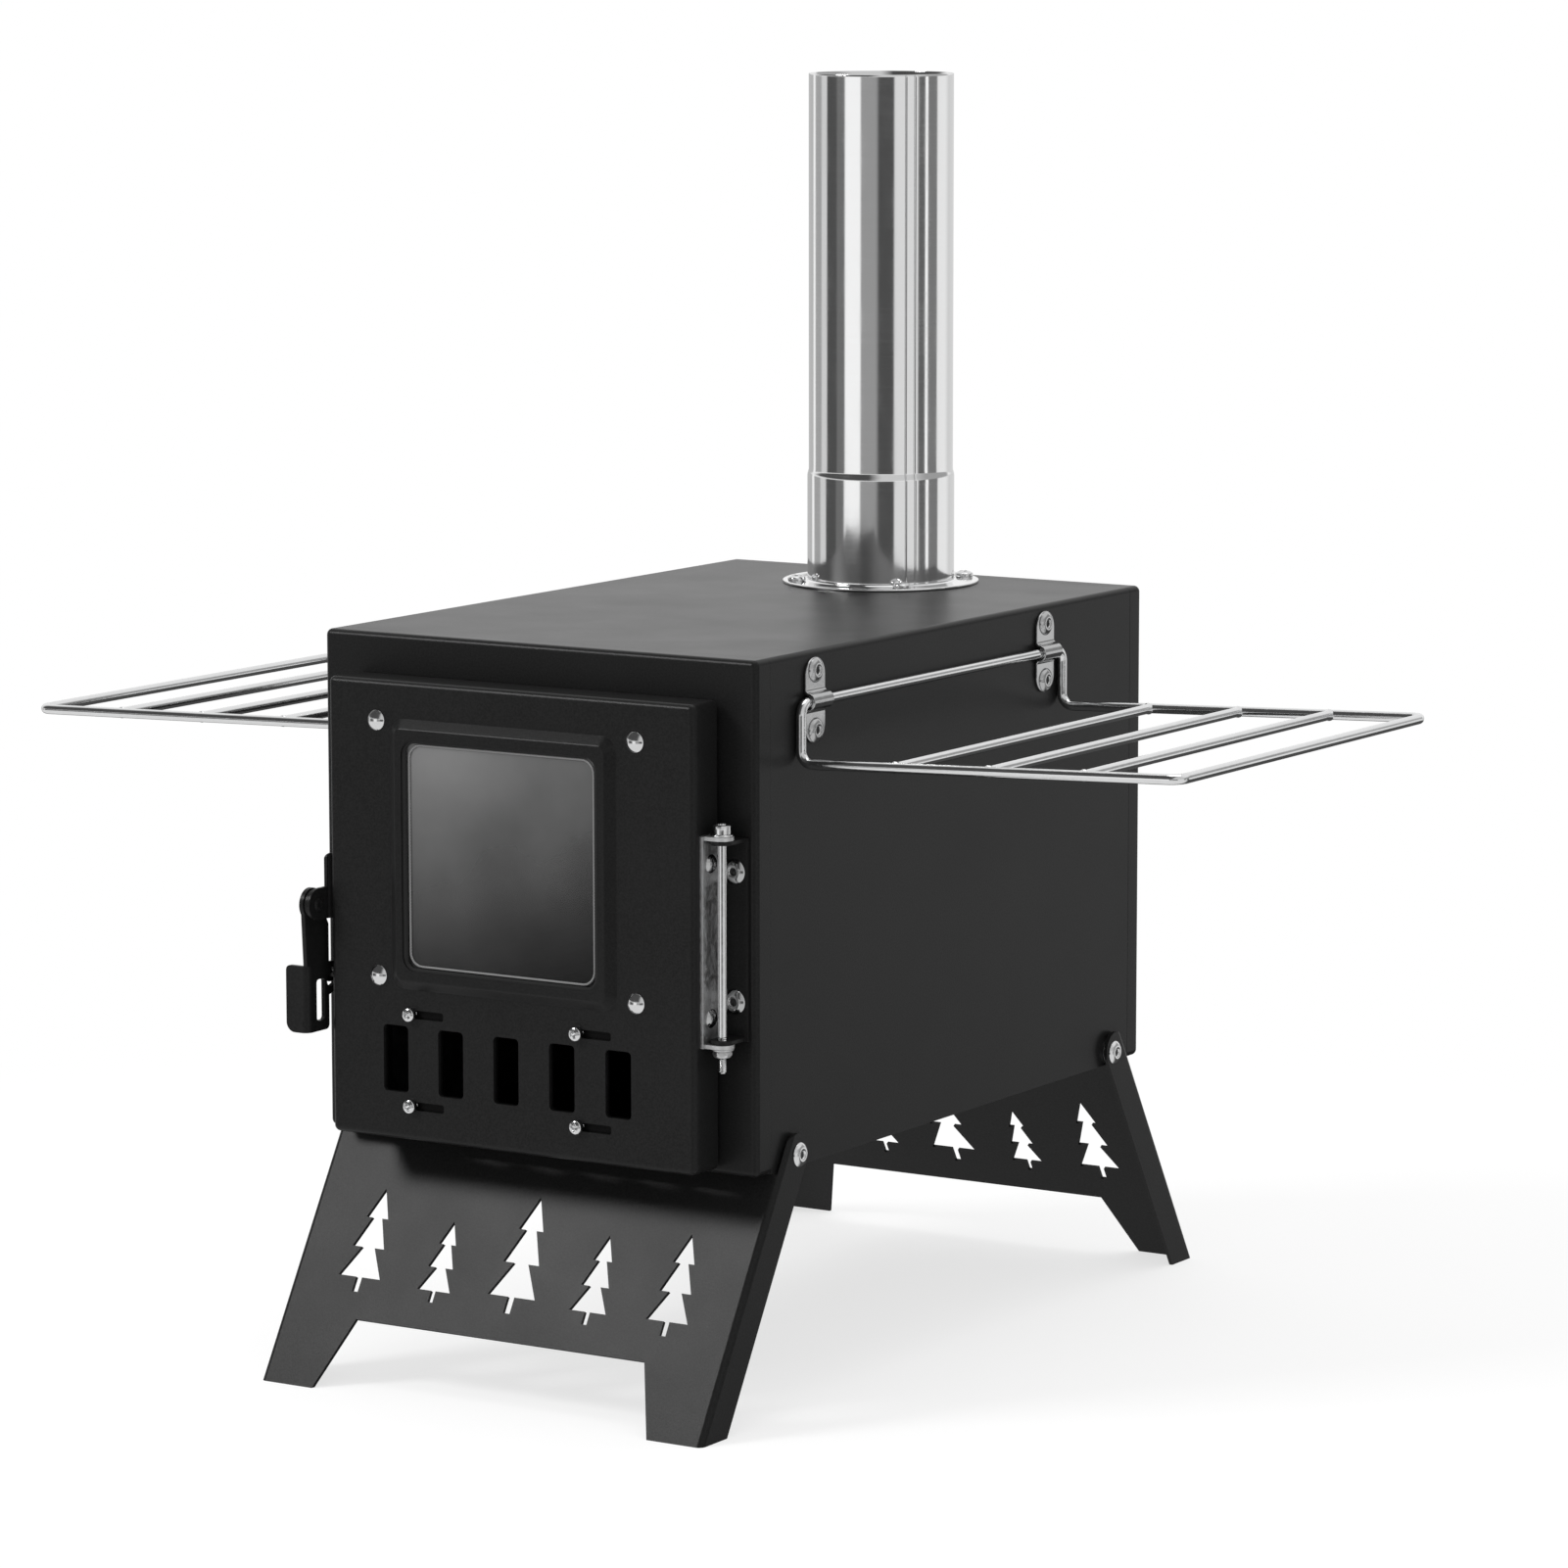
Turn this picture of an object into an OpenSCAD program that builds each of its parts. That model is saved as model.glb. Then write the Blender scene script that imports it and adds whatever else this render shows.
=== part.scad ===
// Tent wood stove: a sheet-steel firebox on two splayed folding legs, with a glazed
// door, a sliding air vent, two folding wire racks and a flue pipe.
// Millimetres. X runs to the right, Y to the back, Z up. The origin is on the ground,
// in the middle of the footprint.

/* [Firebox] */
// Outside width of the firebox
body_w = 200; // [199:1:230]
// Outside height of the firebox
body_h = 198; // [194:1:230]
// Outside depth of the firebox, front to back
body_d = 300; // [298:1:340]
// Height of the firebox's underside above the ground
ground_gap = 95; // [80:1:96]
// Thickness of the firebox sheet
sheet_t = 1.2; // [0.8:0.1:1.6]
// Outside radius of the firebox's bent edges
edge_r = 2.5; // [2:0.1:4]
// Depth of the turned edge of the front and back pans
pan_lip = 10; // [8:1:14]
// Height of the floor panel's upturned sides
floor_lip = 12; // [11:1:16]

/* [Door opening] */
// Distance of the opening's sides from the door's sides
opening_side = 14.5; // [12:0.5:22]
// Height of the opening in the front pan
opening_h = 156; // [140:1:162]
// Corner radius of the opening
opening_r = 6; // [3:0.5:10]
// Length of the opening's collar, which reaches into the door
opening_lip = 8; // [4:0.5:9]

/* [Door] */
// Distance of the door's sides from the firebox's sides
door_side = 15.5; // [15:0.1:17]
// Outside height of the door pan
door_h = 180; // [176:1:184]
// Outside depth of the door pan
door_depth = 16.3; // [15:0.1:18]
// Gap between the door's rim and the front pan
door_gap = 3.2; // [2:0.1:4]
// Height of the door's lower edge above the firebox's underside
door_rise = 2.5; // [1:0.1:6]
// Thickness of the door sheet
door_t = 1.5; // [1.2:0.1:1.8]
// Outside radius of the door's bent edges
door_r = 2.5; // [2:0.1:4]

/* [Window] */
// Height of the window's middle above the door's lower edge
window_rise = 112.7; // [112:0.1:114]
// Sideways shift of the window from the door's middle
window_shift = -2.7; // [-3:0.1:0]
// Width of the raised window frame at its foot
bezel_w = 104.5; // [104:0.1:106]
// Height of the raised window frame at its foot
bezel_h = 105.8; // [105.2:0.1:106.4]
// Corner radius of the raised window frame at its foot
bezel_r = 6.5; // [6:0.1:8]
// How far the window frame stands out of the door
bezel_out = 3; // [2.5:0.1:4]
// Sideways run of the window frame's sloping edge
bezel_slope = 3.8; // [3.5:0.1:4]
// Radius between the window frame's face and its sloping edge
bezel_soft = 1.6; // [1:0.1:2]
// Width of the window frame's opening
light_w = 90.5; // [88:0.5:90.5]
// Height of the window frame's opening
light_h = 90.5; // [88:0.5:91]
// Corner radius of the window frame's opening
light_r = 6; // [4:0.5:8]
// Width of the gasket's opening
gasket_w = 86; // [80:0.5:86.5]
// Height of the gasket's opening
gasket_h = 87; // [80:0.5:87.5]
// Thickness of the gasket
gasket_t = 1; // [0.5:0.1:1.2]
// Width of the glass
glass_w = 93; // [92:0.5:93]
// Height of the glass
glass_h = 94.5; // [92.5:0.5:94.5]
// Thickness of the glass
glass_t = 4; // [3.5:0.1:4.5]
// Outside width of the glass retainer
retainer_w = 131; // [130:0.5:136]
// Outside height of the glass retainer
retainer_h = 112; // [110.5:0.5:114]
// Thickness of the glass retainer
retainer_t = 1.2; // [0.8:0.1:1.5]
// Spacing of the window rivets, side to side
window_rivet_w = 119.7; // [119:0.1:121]
// Spacing of the window rivets, up and down
window_rivet_h = 100; // [96:0.1:101]
// Sideways shift of the window rivets from the window's middle
rivet_aside = 1; // [0:0.1:1.5]
// Height of the window rivets' middle above the window's middle
rivet_above = 1.5; // [0:0.1:2]
// Head radius of the window rivets
window_rivet_r = 4; // [3:0.1:4.5]

/* [Air vent] */
// Number of vent slots
vent_count = 5; // [3:1:5]
// Spacing of the vent slots
vent_pitch = 25.9; // [25:0.1:27]
// Width of a vent slot
vent_w = 11.7; // [8:0.1:12]
// Height of a vent slot
vent_h = 26.3; // [20:0.1:27]
// Corner radius of a vent slot
vent_r = 1.8; // [1:0.1:3]
// Height of the vents' middle above the door's lower edge
vent_rise = 32; // [31:0.1:33]
// Sideways shift of the vent row from the door's middle
vent_shift = -1.8; // [-3:0.1:1]
// Travel of the vent slider
vent_travel = 13.5; // [12:0.1:14]
// Width of the vent slider
slider_w = 136; // [128:1:138]
// Height of the vent slider
slider_h = 47; // [45:0.5:48]
// Thickness of the vent slider
slider_t = 1.2; // [0.8:0.1:1.5]
// Play between the slider and the door sheet
slider_play = 0.15; // [0.1:0.05:0.3]
// Slider screw columns, measured from the vent row's middle
screw_left = -44.5; // [-46:0.1:-43]
// Second slider screw column, measured from the vent row's middle
screw_right = 33.3; // [32:0.1:34.5]
// Spacing of the slider screws, up and down
screw_rise = 36.2; // [35:0.1:38]
// Radius of the slider screws' shank
screw_r = 1.5; // [1.2:0.1:1.8]
// Radius of the slider screws' head
screw_head_r = 2.75; // [2.4:0.05:3]
// Height of the slider screws' head
screw_head_h = 3; // [1.5:0.1:3.5]
// Height of the slots that the slider screws run in
track_h = 3.4; // [3.2:0.1:4]

/* [Hinge] */
// Distance of the hinge bolt from the door's side
hinge_side = 6.5; // [6.2:0.1:7]
// Distance of the hinge bolt in front of the front pan
hinge_out = 10; // [9:0.1:11]
// Height of the hinge's lower end above the firebox's underside
hinge_rise = 51.3; // [45:0.1:60]
// Overall length of the hinge's door leaf
hinge_len = 81; // [75:0.5:90]
// Thickness of the hinge leaves
leaf_t = 1.5; // [1.2:0.1:1.8]
// Width of the door leaf
door_leaf_w = 11; // [10:0.1:11.4]
// Width of the body leaf
body_leaf_w = 10.5; // [10:0.1:12]
// Radius of the ears round the hinge bolt
ear_r = 4.6; // [4:0.1:4.7]
// Shank radius of the hinge bolt
hinge_bolt_r = 2; // [1.5:0.05:2.2]
// Running play round the hinge bolt
hinge_play = 0.06; // [0.04:0.01:0.1]
// Radius of the hinge bolt's head
hinge_head_r = 3.5; // [3.2:0.1:4]
// Height of the hinge bolt's head
hinge_head_h = 3.6; // [2.5:0.1:4]
// Height of the hinge nut
hinge_nut_h = 2.6; // [2:0.1:3.5]
// Width of the hinge nut across its flats
hinge_nut_af = 6.6; // [6:0.1:7.5]
// Length of bolt below the nut
hinge_tail = 6.2; // [2:0.1:10]
// Distance of the leaf rivets from the ends of the door leaf
leaf_rivet_inset = 10.9; // [10:0.1:14]

/* [Latch] */
// Height of the latch pivot above the firebox's underside
latch_rise = 93; // [90:0.1:96]
// Distance of the latch pivot in front of the front pan
latch_out = 24.2; // [23.5:0.1:25]
// Radius of the ears round the latch pivot
latch_ear_r = 6.3; // [5.5:0.1:6.6]
// Shank radius of the latch pivot
latch_pin_r = 2; // [1.5:0.1:2.5]
// Running play round the latch pivot
latch_play = 0.06; // [0.04:0.01:0.1]
// Thickness of the latch bracket
bracket_t = 1.5; // [1.2:0.1:1.8]
// Thickness of the washer under the latch handle
latch_washer_t = 1.6; // [1.2:0.1:2]
// Thickness of the latch handle
handle_t = 1.8; // [1.5:0.1:2]
// Length of the latch handle below its pivot
handle_len = 51; // [49:0.5:52]
// Width of the latch handle's finger tab
tab_w = 10.3; // [9:0.1:10.4]
// Height of the latch handle's finger tab
tab_h = 26.5; // [22:0.5:28]
// Distance of the finger tab's face in front of the latch pivot
tab_out = 3.9; // [3.5:0.1:4.5]
// Outside radius of the bend between the handle and its finger tab
tab_bend = 3.2; // [2.6:0.1:4]
// Distance of the handle's rear edge behind the latch pivot
blade_back = 10.5; // [10:0.1:11]
// Width of the slot in the handle
grip_w = 5.5; // [4:0.1:5.6]
// Height of the slot in the handle
grip_h = 16.5; // [12:0.5:17]
// Distance from the latch pivot to the keeper pin
hook_reach = 34; // [33.5:0.1:34.5]
// Distance of the keeper pin in front of the front pan
keeper_out = 7.5; // [7.2:0.1:7.8]
// Radius of the keeper pin
keeper_r = 2; // [1.6:0.1:2.1]
// Play of the keeper pin in the hook
hook_play = 0.4; // [0.3:0.05:0.6]

/* [Legs] */
// Splay of the legs from upright
leg_splay = 30.6; // [27:0.1:32]
// Distance of the leg pivots from the firebox's ends
leg_inset = 26; // [25:0.5:32]
// Height of the leg pivots above the firebox's underside
leg_pivot_rise = 5.3; // [5:0.1:6]
// Thickness of the leg sheet
leg_t = 1.5; // [1.2:0.1:1.8]
// Depth of the legs' side flanges
leg_flange = 15.4; // [14.5:0.1:16]
// Distance from the leg pivot to the leg's outer face
leg_web_out = 9.25; // [8.8:0.05:9.4]
// Outside radius of the legs' bent edges
leg_r = 2.5; // [2:0.1:3]
// Distance of the web's upper edge below the leg pivot
leg_web_top = 12; // [11.9:0.1:15]
// Distance of the notch between the feet below the leg pivot
notch_top = 92; // [90:0.5:96]
// Width of the notch at its top
notch_w = 134.8; // [120:0.5:140]
// Slope of the feet's inner edges
foot_slope = 19.8; // [10:0.1:24]
// Shank radius of the leg rivets
leg_pin_r = 2.4; // [2:0.1:2.8]
// Running play round the leg rivets
leg_play = 0.06; // [0.04:0.01:0.1]
// Thickness of the washers between the legs and the firebox
leg_washer_t = 1.5; // [1:0.1:2.5]
// Spacing of the trees cut in the legs
tree_pitch = 36; // [34:0.5:37]
// Width of a tree
tree_w = 22; // [16:0.5:24]
// Height of the tallest tree
tree_h = 48; // [40:0.5:52]
// Distance of the trees' feet above the notch
tree_rise = 11; // [8:0.5:14]

/* [Racks] */
// Wire radius of the racks
wire_r = 2; // [1.6:0.1:2.2]
// Height of the rack pivots below the firebox's top
rack_drop_top = 19; // [19:0.1:24]
// Distance of the racks' front wires from the firebox's front
rack_inset = 28.5; // [24:0.5:34]
// Length of the racks, front wire to rear wire
rack_len = 201; // [180:1:206]
// Reach of the racks, pivot wire to outer wire
rack_reach = 163; // [140:1:166]
// Drop from the pivot wire to the shelf wires
rack_drop = 23; // [20:0.1:28]
// Bend radius of the wires, at the wire's middle
wire_bend = 5; // [4.5:0.1:7]
// Number of wires across each rack, between the pivot and outer wires
rack_bar_count = 3; // [2:1:5]
// Upward tilt of the right rack's shelf
tilt_right = 2.2; // [0:0.1:4]
// Upward tilt of the left rack's shelf
tilt_left = -1.6; // [-2:0.1:4]
// Running play of the pivot wires in their clips
rack_play = 0.08; // [0.05:0.01:0.1]
// Width of the rack clips
clip_w = 14; // [12:0.1:15]
// Length of the rack clips, up and down
clip_len = 33; // [31:0.5:36]
// Thickness of the rack clips
clip_t = 1.2; // [0.8:0.1:1.5]
// Radius of the clips' flare beside the wire
clip_flare = 1.5; // [1:0.1:2]
// Distance of the clips from the racks' end wires
clip_inset = 12; // [11:0.5:16]
// Spacing of the two rivets of a rack clip
clip_rivet_gap = 23; // [22:0.1:24]

/* [Rivets] */
// Flange radius of the blind rivets
rivet_r = 4.8; // [4:0.1:5]
// Flange height of the blind rivets
rivet_h = 1.6; // [1.2:0.1:1.8]
// Shank radius of the blind rivets
rivet_pin_r = 2; // [1.6:0.1:2.2]
// Radius of the hollow in the blind rivets
rivet_bore = 1.1; // [0.8:0.1:1.2]
// Height of the swelling behind the sheet
bulb_h = 2; // [1.5:0.1:2.5]
// Radius of the swelling behind the sheet
bulb_r = 3; // [2.6:0.1:3.1]

/* [Flue] */
// Outside radius of the flue pipe
pipe_r = 30; // [29:0.1:31]
// Wall thickness of the flue pipe
pipe_t = 0.5; // [0.4:0.05:0.8]
// Length of the flue pipe above the collar's flange
pipe_len = 210; // [150:1:400]
// Length of the pipe's widened lower end
socket_len = 44; // [40:1:50]
// Play between the widened end and the collar
socket_play = 0.1; // [0.08:0.01:0.1]
// Length of the shoulder above the widened end
shoulder_len = 2; // [1:0.1:4]
// Distance of the flue's middle from the firebox's back
flue_inset = 44; // [43.5:0.5:60]
// Radius of the collar's flange
flange_r = 41; // [40.5:0.5:43]
// Thickness of the collar's flange
flange_t = 1.2; // [1:0.1:2]
// Wall thickness of the collar's spigot
spigot_t = 0.8; // [0.6:0.1:1.2]
// Height of the collar's spigot above its flange
spigot_h = 37; // [20:1:38]
// Radius of the locating bead on the flange
bead_r = 0.5; // [0.4:0.05:0.6]
// Radius of the circle of flue screws
flue_screw_circle = 36; // [35.8:0.1:36.2]
// Head radius of the flue screws
flue_head_r = 3.7; // [3:0.1:3.8]
// Head height of the flue screws
flue_head_h = 2.6; // [2:0.1:3]
// Shank radius of the flue screws
flue_screw_r = 2; // [1.5:0.1:2]
// Height of the flue screws' nuts
flue_nut_h = 3; // [2:0.1:3.5]

/* [Fire grate] */
// Gap between the fire grate and the side walls
grate_side = 12.8; // [11:0.1:24]
// Depth of the fire grate
grate_d = 262; // [240:1:270]
// Height of the fire grate's top above the floor panel
grate_h = 58; // [40:1:60]
// Thickness of the fire grate
grate_t = 2; // [1.5:0.1:3]
// Number of slots in the fire grate
grate_slots = 5; // [3:1:5]
// Width of the fire grate's slots
grate_slot_w = 12; // [8:0.5:16]
// Length of the fire grate's slots
grate_slot_l = 226; // [160:1:230]
// Spacing of the slots, side to side
grate_pitch = 29; // [26:0.5:30]

/* [Hidden] */
$fn = 48;

// Colours
black_steel = [0.13, 0.13, 0.135];
zinc = [0.62, 0.63, 0.64];
bright_steel = [0.82, 0.83, 0.85];
glass_colour = [0.10, 0.10, 0.11];

// Clearance of a fixed shank in its hole, and the length by which cuts run past a face
fit = 0.05;
past = 1;

// Firebox planes
front_y = -body_d / 2;
back_y = body_d / 2;
side_x = body_w / 2;
base_z = ground_gap;
top_z = ground_gap + body_h;

// Door planes: rim against the firebox, outer face, inner face
door_w = body_w - 2 * door_side;
opening_w = door_w - 2 * opening_side;
door_rim_y = front_y - door_gap;
door_face_y = door_rim_y - door_depth;
door_in_y = door_face_y + door_t;
door_z = base_z + door_rise;
door_x = door_w / 2;

// Window stack, from the outer face of its frame inwards
window_z = door_z + window_rise;
bezel_y = door_face_y - bezel_out;
gasket_y = bezel_y + door_t;
glass_y = gasket_y + gasket_t;
glass_back_y = glass_y + glass_t;
retainer_r = 5;
bezel_depth = bezel_out + door_t;
seat_w = bezel_w - 2 * bezel_slope - 2 * door_t;
seat_h = bezel_h - 2 * bezel_slope - 2 * door_t;
seat_r = bezel_r - bezel_slope;
window_grip = door_t + retainer_t;

// Vents and slider
vent_z = door_z + vent_rise;
screw_xs = [vent_shift + screw_left, vent_shift + screw_right];
screw_zs = [vent_z - screw_rise / 2, vent_z + screw_rise / 2];
slider_y = door_in_y + slider_play;
track_r = 1;
nut_r = 3.1;
nut_h = 2.2;

// Hinge
hinge_x = door_x + hinge_side;
hinge_y = front_y - hinge_out;
hinge_z = base_z + hinge_rise;
hinge_top = hinge_z + hinge_len;
ear_play = 0.15;
washer_t = 0.8;
washer_r = 4.4;
door_rivet_zs = [hinge_z + leaf_rivet_inset, hinge_top - leaf_rivet_inset];
body_rivet_zs = [for (z = door_rivet_zs) z + (z > hinge_z + hinge_len / 2 ? -3.8 : 5.5)];
leaf_head_r = 3.6;
leaf_head_h = 1.8;

// Latch: the bracket steps out from the door's side, the handle hangs outside it
latch_y = front_y - latch_out;
latch_z = base_z + latch_rise;
bracket_x = -door_x;
step_out = 2;
ear_x = bracket_x - step_out - bracket_t;
handle_x = ear_x - latch_washer_t - handle_t;
base_back_y = door_rim_y - 3;
base_front_y = door_face_y + 1;
bracket_top = 19.5;
bracket_rivet_y = (base_back_y + base_front_y) / 2 + 0.7;
bracket_rivet_zs = [latch_z, latch_z + 13];
bracket_head_r = 2.9;
keeper_y = front_y - keeper_out;
keeper_dy = latch_out - keeper_out;
hook_angle = asin(keeper_dy / hook_reach);
keeper_z = latch_z - hook_reach * cos(hook_angle);
// The hook ends short of the pin at rest and swallows it when the handle swings back
latch_swing = 9.5;
hook_tip = hook_angle - asin((keeper_r + hook_play) / hook_reach) - 1.2;
hook_root = hook_angle - latch_swing;
hook_wall = 2.6;
hook_slot = keeper_r + hook_play;
keeper_t = 1.3;
keeper_x = handle_x - 3.4;
keeper_w = 8.2;
keeper_h = 20;
keeper_pin_end = ear_x + 0.4;
keeper_rivet_x = keeper_x + keeper_w - 2.4;
keeper_rivet_zs = [keeper_z - 6.3, keeper_z + 6.3];
keeper_rivet_r = 1.2;
keeper_head_r = 1.9;

// Legs
leg_y = front_y + leg_inset;
leg_z = base_z + leg_pivot_rise;
leg_x = side_x + leg_washer_t + leg_t;
leg_long = (ground_gap + leg_pivot_rise + leg_web_out * sin(leg_splay)) / cos(leg_splay) + 4;
leg_grip = sheet_t * 2;
tree_scale = [0.9, 0.7, 1, 0.76, 0.86];

// Racks: the pivot wire's hole touches the wall
clip_hole = wire_r + rack_play;
rack_x = side_x + clip_hole;
rack_y = front_y + rack_inset;
rack_z = top_z - rack_drop_top;
bar_pitch = rack_reach / (rack_bar_count + 1);
clip_ys = [rack_y + clip_inset, rack_y + rack_len - clip_inset];
clip_rivet_zs = [rack_z - clip_rivet_gap / 2, rack_z + clip_rivet_gap / 2];

// Fire grate
grate_w = body_w - 2 * sheet_t - 2 * grate_side;

// Flue
flue_y = back_y - flue_inset;
seat_z = top_z + flange_t;
spigot_r = pipe_r;
socket_r = spigot_r + socket_play;
flue_hole_r = spigot_r - spigot_t;
bead_circle = socket_r + pipe_t + 0.3 + bead_r;
flue_screw_angles = [for (i = [0 : 3]) 45 + 90 * i];
flue_nut_r = 3.6;

// ---------------------------------------------------------------- shared shapes

// Rectangle with round corners, centred
module round_rect(w, h, r) {
    square([w - 2 * r, h], center = true);
    square([w, h - 2 * r], center = true);
    for (x = [-1, 1], z = [-1, 1])
        translate([x * (w / 2 - r), z * (h / 2 - r)]) circle(r);
}

// Puts a drawing in the XZ plane, facing the front, with its thickness running back
module upright(y, t) {
    translate([0, y + t, 0]) rotate([90, 0, 0]) linear_extrude(t) children();
}

// Puts a drawing whose X is the stove's Y and whose Y is the stove's Z on a side plane
module sideways(x, t) {
    translate([x, 0, 0]) rotate([90, 0, 90]) linear_extrude(t) children();
}

// Block with a soft front face and soft long edges, its face at y = 0
module soft_block(w, h, d, r) {
    upright(r, d - r) round_rect(w, h, r);
    upright(0, r) square([w - 2 * r, h - 2 * r], center = true);
    for (x = [-1, 1]) {
        translate([x * (w / 2 - r), r, 0]) cylinder(r = r, h = h - 2 * r, center = true);
        for (z = [-1, 1])
            translate([x * (w / 2 - r), r, z * (h / 2 - r)]) sphere(r);
    }
    for (z = [-1, 1])
        translate([0, r, z * (h / 2 - r)]) rotate([0, 90, 0])
            cylinder(r = r, h = w - 2 * r, center = true);
}

// Sheet pan with its face at y = 0 and its rim turned back
module soft_pan(w, h, d, r, t) {
    difference() {
        soft_block(w, h, d, r);
        translate([0, t, 0]) soft_block(w - 2 * t, h - 2 * t, d, r - t);
    }
}

// Low dome on the XY plane
module dome(r, h) {
    ball = (r * r + h * h) / (2 * h);
    intersection() {
        translate([0, 0, h - ball]) sphere(ball);
        cylinder(r = r, h = h);
    }
}

// Blind rivet: flange above z = 0, shank through the grip, swelling behind it
module blind_rivet(r, h, pin, grip) {
    difference() {
        union() {
            dome(r, h);
            translate([0, 0, -grip]) cylinder(r = pin, h = grip + h / 4);
            translate([0, 0, -grip - bulb_h]) cylinder(r = bulb_r, h = bulb_h);
        }
        translate([0, 0, -grip / 2]) cylinder(r = rivet_bore, h = grip + h);
    }
}

// Solid rivet with a dome on each side of the grip
module dome_rivet(r, h, pin, grip) {
    dome(r, h);
    translate([0, 0, -grip]) cylinder(r = pin, h = grip + h / 4);
    translate([0, 0, -grip]) mirror([0, 0, 1]) dome(r * 0.8, h * 0.8);
}

// Hexagonal nut with a plain bore, standing on z = 0
module hex_nut(r, h, bore) {
    difference() {
        cylinder(r = r, h = h, $fn = 6);
        translate([0, 0, -past]) cylinder(r = bore, h = h + 2 * past);
    }
}

// Turns a part that stands on +Z to face the front, the right side or the left side
module face_front(x, y, z) { translate([x, y, z]) rotate([90, 0, 0]) children(); }
module face_right(x, y, z) { translate([x, y, z]) rotate([0, 90, 0]) children(); }
module face_left(x, y, z) { translate([x, y, z]) rotate([0, -90, 0]) children(); }

// Straight round bar from its start, along +X, +Y or +Z
module bar_x(r, l) { rotate([0, 90, 0]) cylinder(r = r, h = l); }
module bar_y(r, l) { rotate([-90, 0, 0]) cylinder(r = r, h = l); }
module bar_z(r, l) { cylinder(r = r, h = l); }

// ---------------------------------------------------------------- firebox

// Holes in the side walls for the leg and clip rivets
module side_holes() {
    for (y = [leg_y, -leg_y])
        translate([-side_x - past, y, leg_z]) bar_x(leg_pin_r + fit, body_w + 2 * past);
    for (y = clip_ys, z = clip_rivet_zs)
        translate([-side_x - past, y, z]) bar_x(rivet_pin_r + fit, body_w + 2 * past);
}

// Holes in the top for the flue and its screws
module flue_holes(depth) {
    translate([0, flue_y, top_z - depth]) cylinder(r = flue_hole_r, h = 2 * depth);
    for (a = flue_screw_angles)
        translate([0, flue_y, top_z - depth]) rotate(a)
            translate([flue_screw_circle, 0, 0]) cylinder(r = flue_screw_r + fit, h = 2 * depth);
}

// Top and sides, bent from one sheet
module body_shell() {
    wrap_d = body_d - 2 * pan_lip;
    color(black_steel) difference() {
        translate([0, 0, base_z + body_h / 2]) upright(front_y + pan_lip, wrap_d)
            difference() {
                union() {
                    round_rect(body_w, body_h, edge_r);
                    translate([-side_x, -body_h / 2]) square([body_w, body_h / 2]);
                }
                translate([0, -sheet_t / 2])
                    round_rect(body_w - 2 * sheet_t, body_h - sheet_t, edge_r - sheet_t);
                translate([-side_x + sheet_t, -body_h / 2 - past])
                    square([body_w - 2 * sheet_t, body_h / 2]);
            }
        side_holes();
        flue_holes(2 * sheet_t);
    }
}

// Front pan with the door opening and its collar
module front_frame() {
    mid_z = door_z + door_h / 2;
    lip_w = opening_w + 2 * sheet_t;
    lip_h = opening_h + 2 * sheet_t;
    color(black_steel) difference() {
        union() {
            translate([0, front_y, base_z + body_h / 2])
                soft_pan(body_w, body_h, pan_lip, edge_r, sheet_t);
            translate([0, 0, mid_z]) upright(front_y - opening_lip, opening_lip + sheet_t)
                round_rect(lip_w, lip_h, opening_r + sheet_t);
        }
        translate([0, 0, mid_z]) upright(front_y - opening_lip - past, opening_lip + 2 * past + sheet_t)
            round_rect(opening_w, opening_h, opening_r);
        for (z = body_rivet_zs)
            face_front(hinge_x, front_y + sheet_t + past, z)
                cylinder(r = rivet_pin_r + fit, h = sheet_t + 2 * past);
        for (z = keeper_rivet_zs)
            face_front(keeper_rivet_x, front_y + sheet_t + past, z)
                cylinder(r = keeper_rivet_r + fit, h = sheet_t + 2 * past);
    }
}

// Back pan
module back_panel() {
    color(black_steel) translate([0, back_y, base_z + body_h / 2]) rotate(180)
        soft_pan(body_w, body_h, pan_lip, edge_r, sheet_t);
}

// Floor tray between the side walls and the two pans
module floor_panel() {
    tray_w = body_w - 2 * sheet_t;
    tray_d = body_d - 2 * pan_lip;
    color(black_steel) difference() {
        translate([-tray_w / 2, front_y + pan_lip, base_z]) cube([tray_w, tray_d, floor_lip]);
        translate([-tray_w / 2 + sheet_t, front_y + pan_lip - past, base_z + sheet_t])
            cube([tray_w - 2 * sheet_t, tray_d + 2 * past, floor_lip]);
        side_holes();
    }
}

// Slotted grate on two folded sides
module fire_grate() {
    color(zinc * 0.45) translate([0, 0, base_z + sheet_t]) difference() {
        translate([-grate_w / 2, -grate_d / 2, 0]) cube([grate_w, grate_d, grate_h]);
        translate([-grate_w / 2 + grate_t, -grate_d / 2 - past, -grate_t])
            cube([grate_w - 2 * grate_t, grate_d + 2 * past, grate_h]);
        for (i = [0 : grate_slots - 1])
            translate([(i - (grate_slots - 1) / 2) * grate_pitch, 0, grate_h - 2 * grate_t])
                linear_extrude(3 * grate_t)
                    round_rect(grate_slot_w, grate_slot_l, grate_slot_w / 2 - 0.01);
    }
}

// ---------------------------------------------------------------- flue

// Flange, locating bead and spigot
module flue_collar() {
    color(bright_steel) translate([0, flue_y, top_z]) difference() {
        union() {
            cylinder(r = flange_r, h = flange_t);
            cylinder(r = spigot_r, h = flange_t + spigot_h);
            translate([0, 0, flange_t]) rotate_extrude()
                translate([bead_circle, 0]) circle(bead_r, $fn = 24);
        }
        translate([0, 0, -past]) cylinder(r = flue_hole_r, h = flange_t + spigot_h + 2 * past);
        for (a = flue_screw_angles)
            rotate(a) translate([flue_screw_circle, 0, -past])
                cylinder(r = flue_screw_r + fit, h = flange_t + 2 * past);
    }
}

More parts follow.
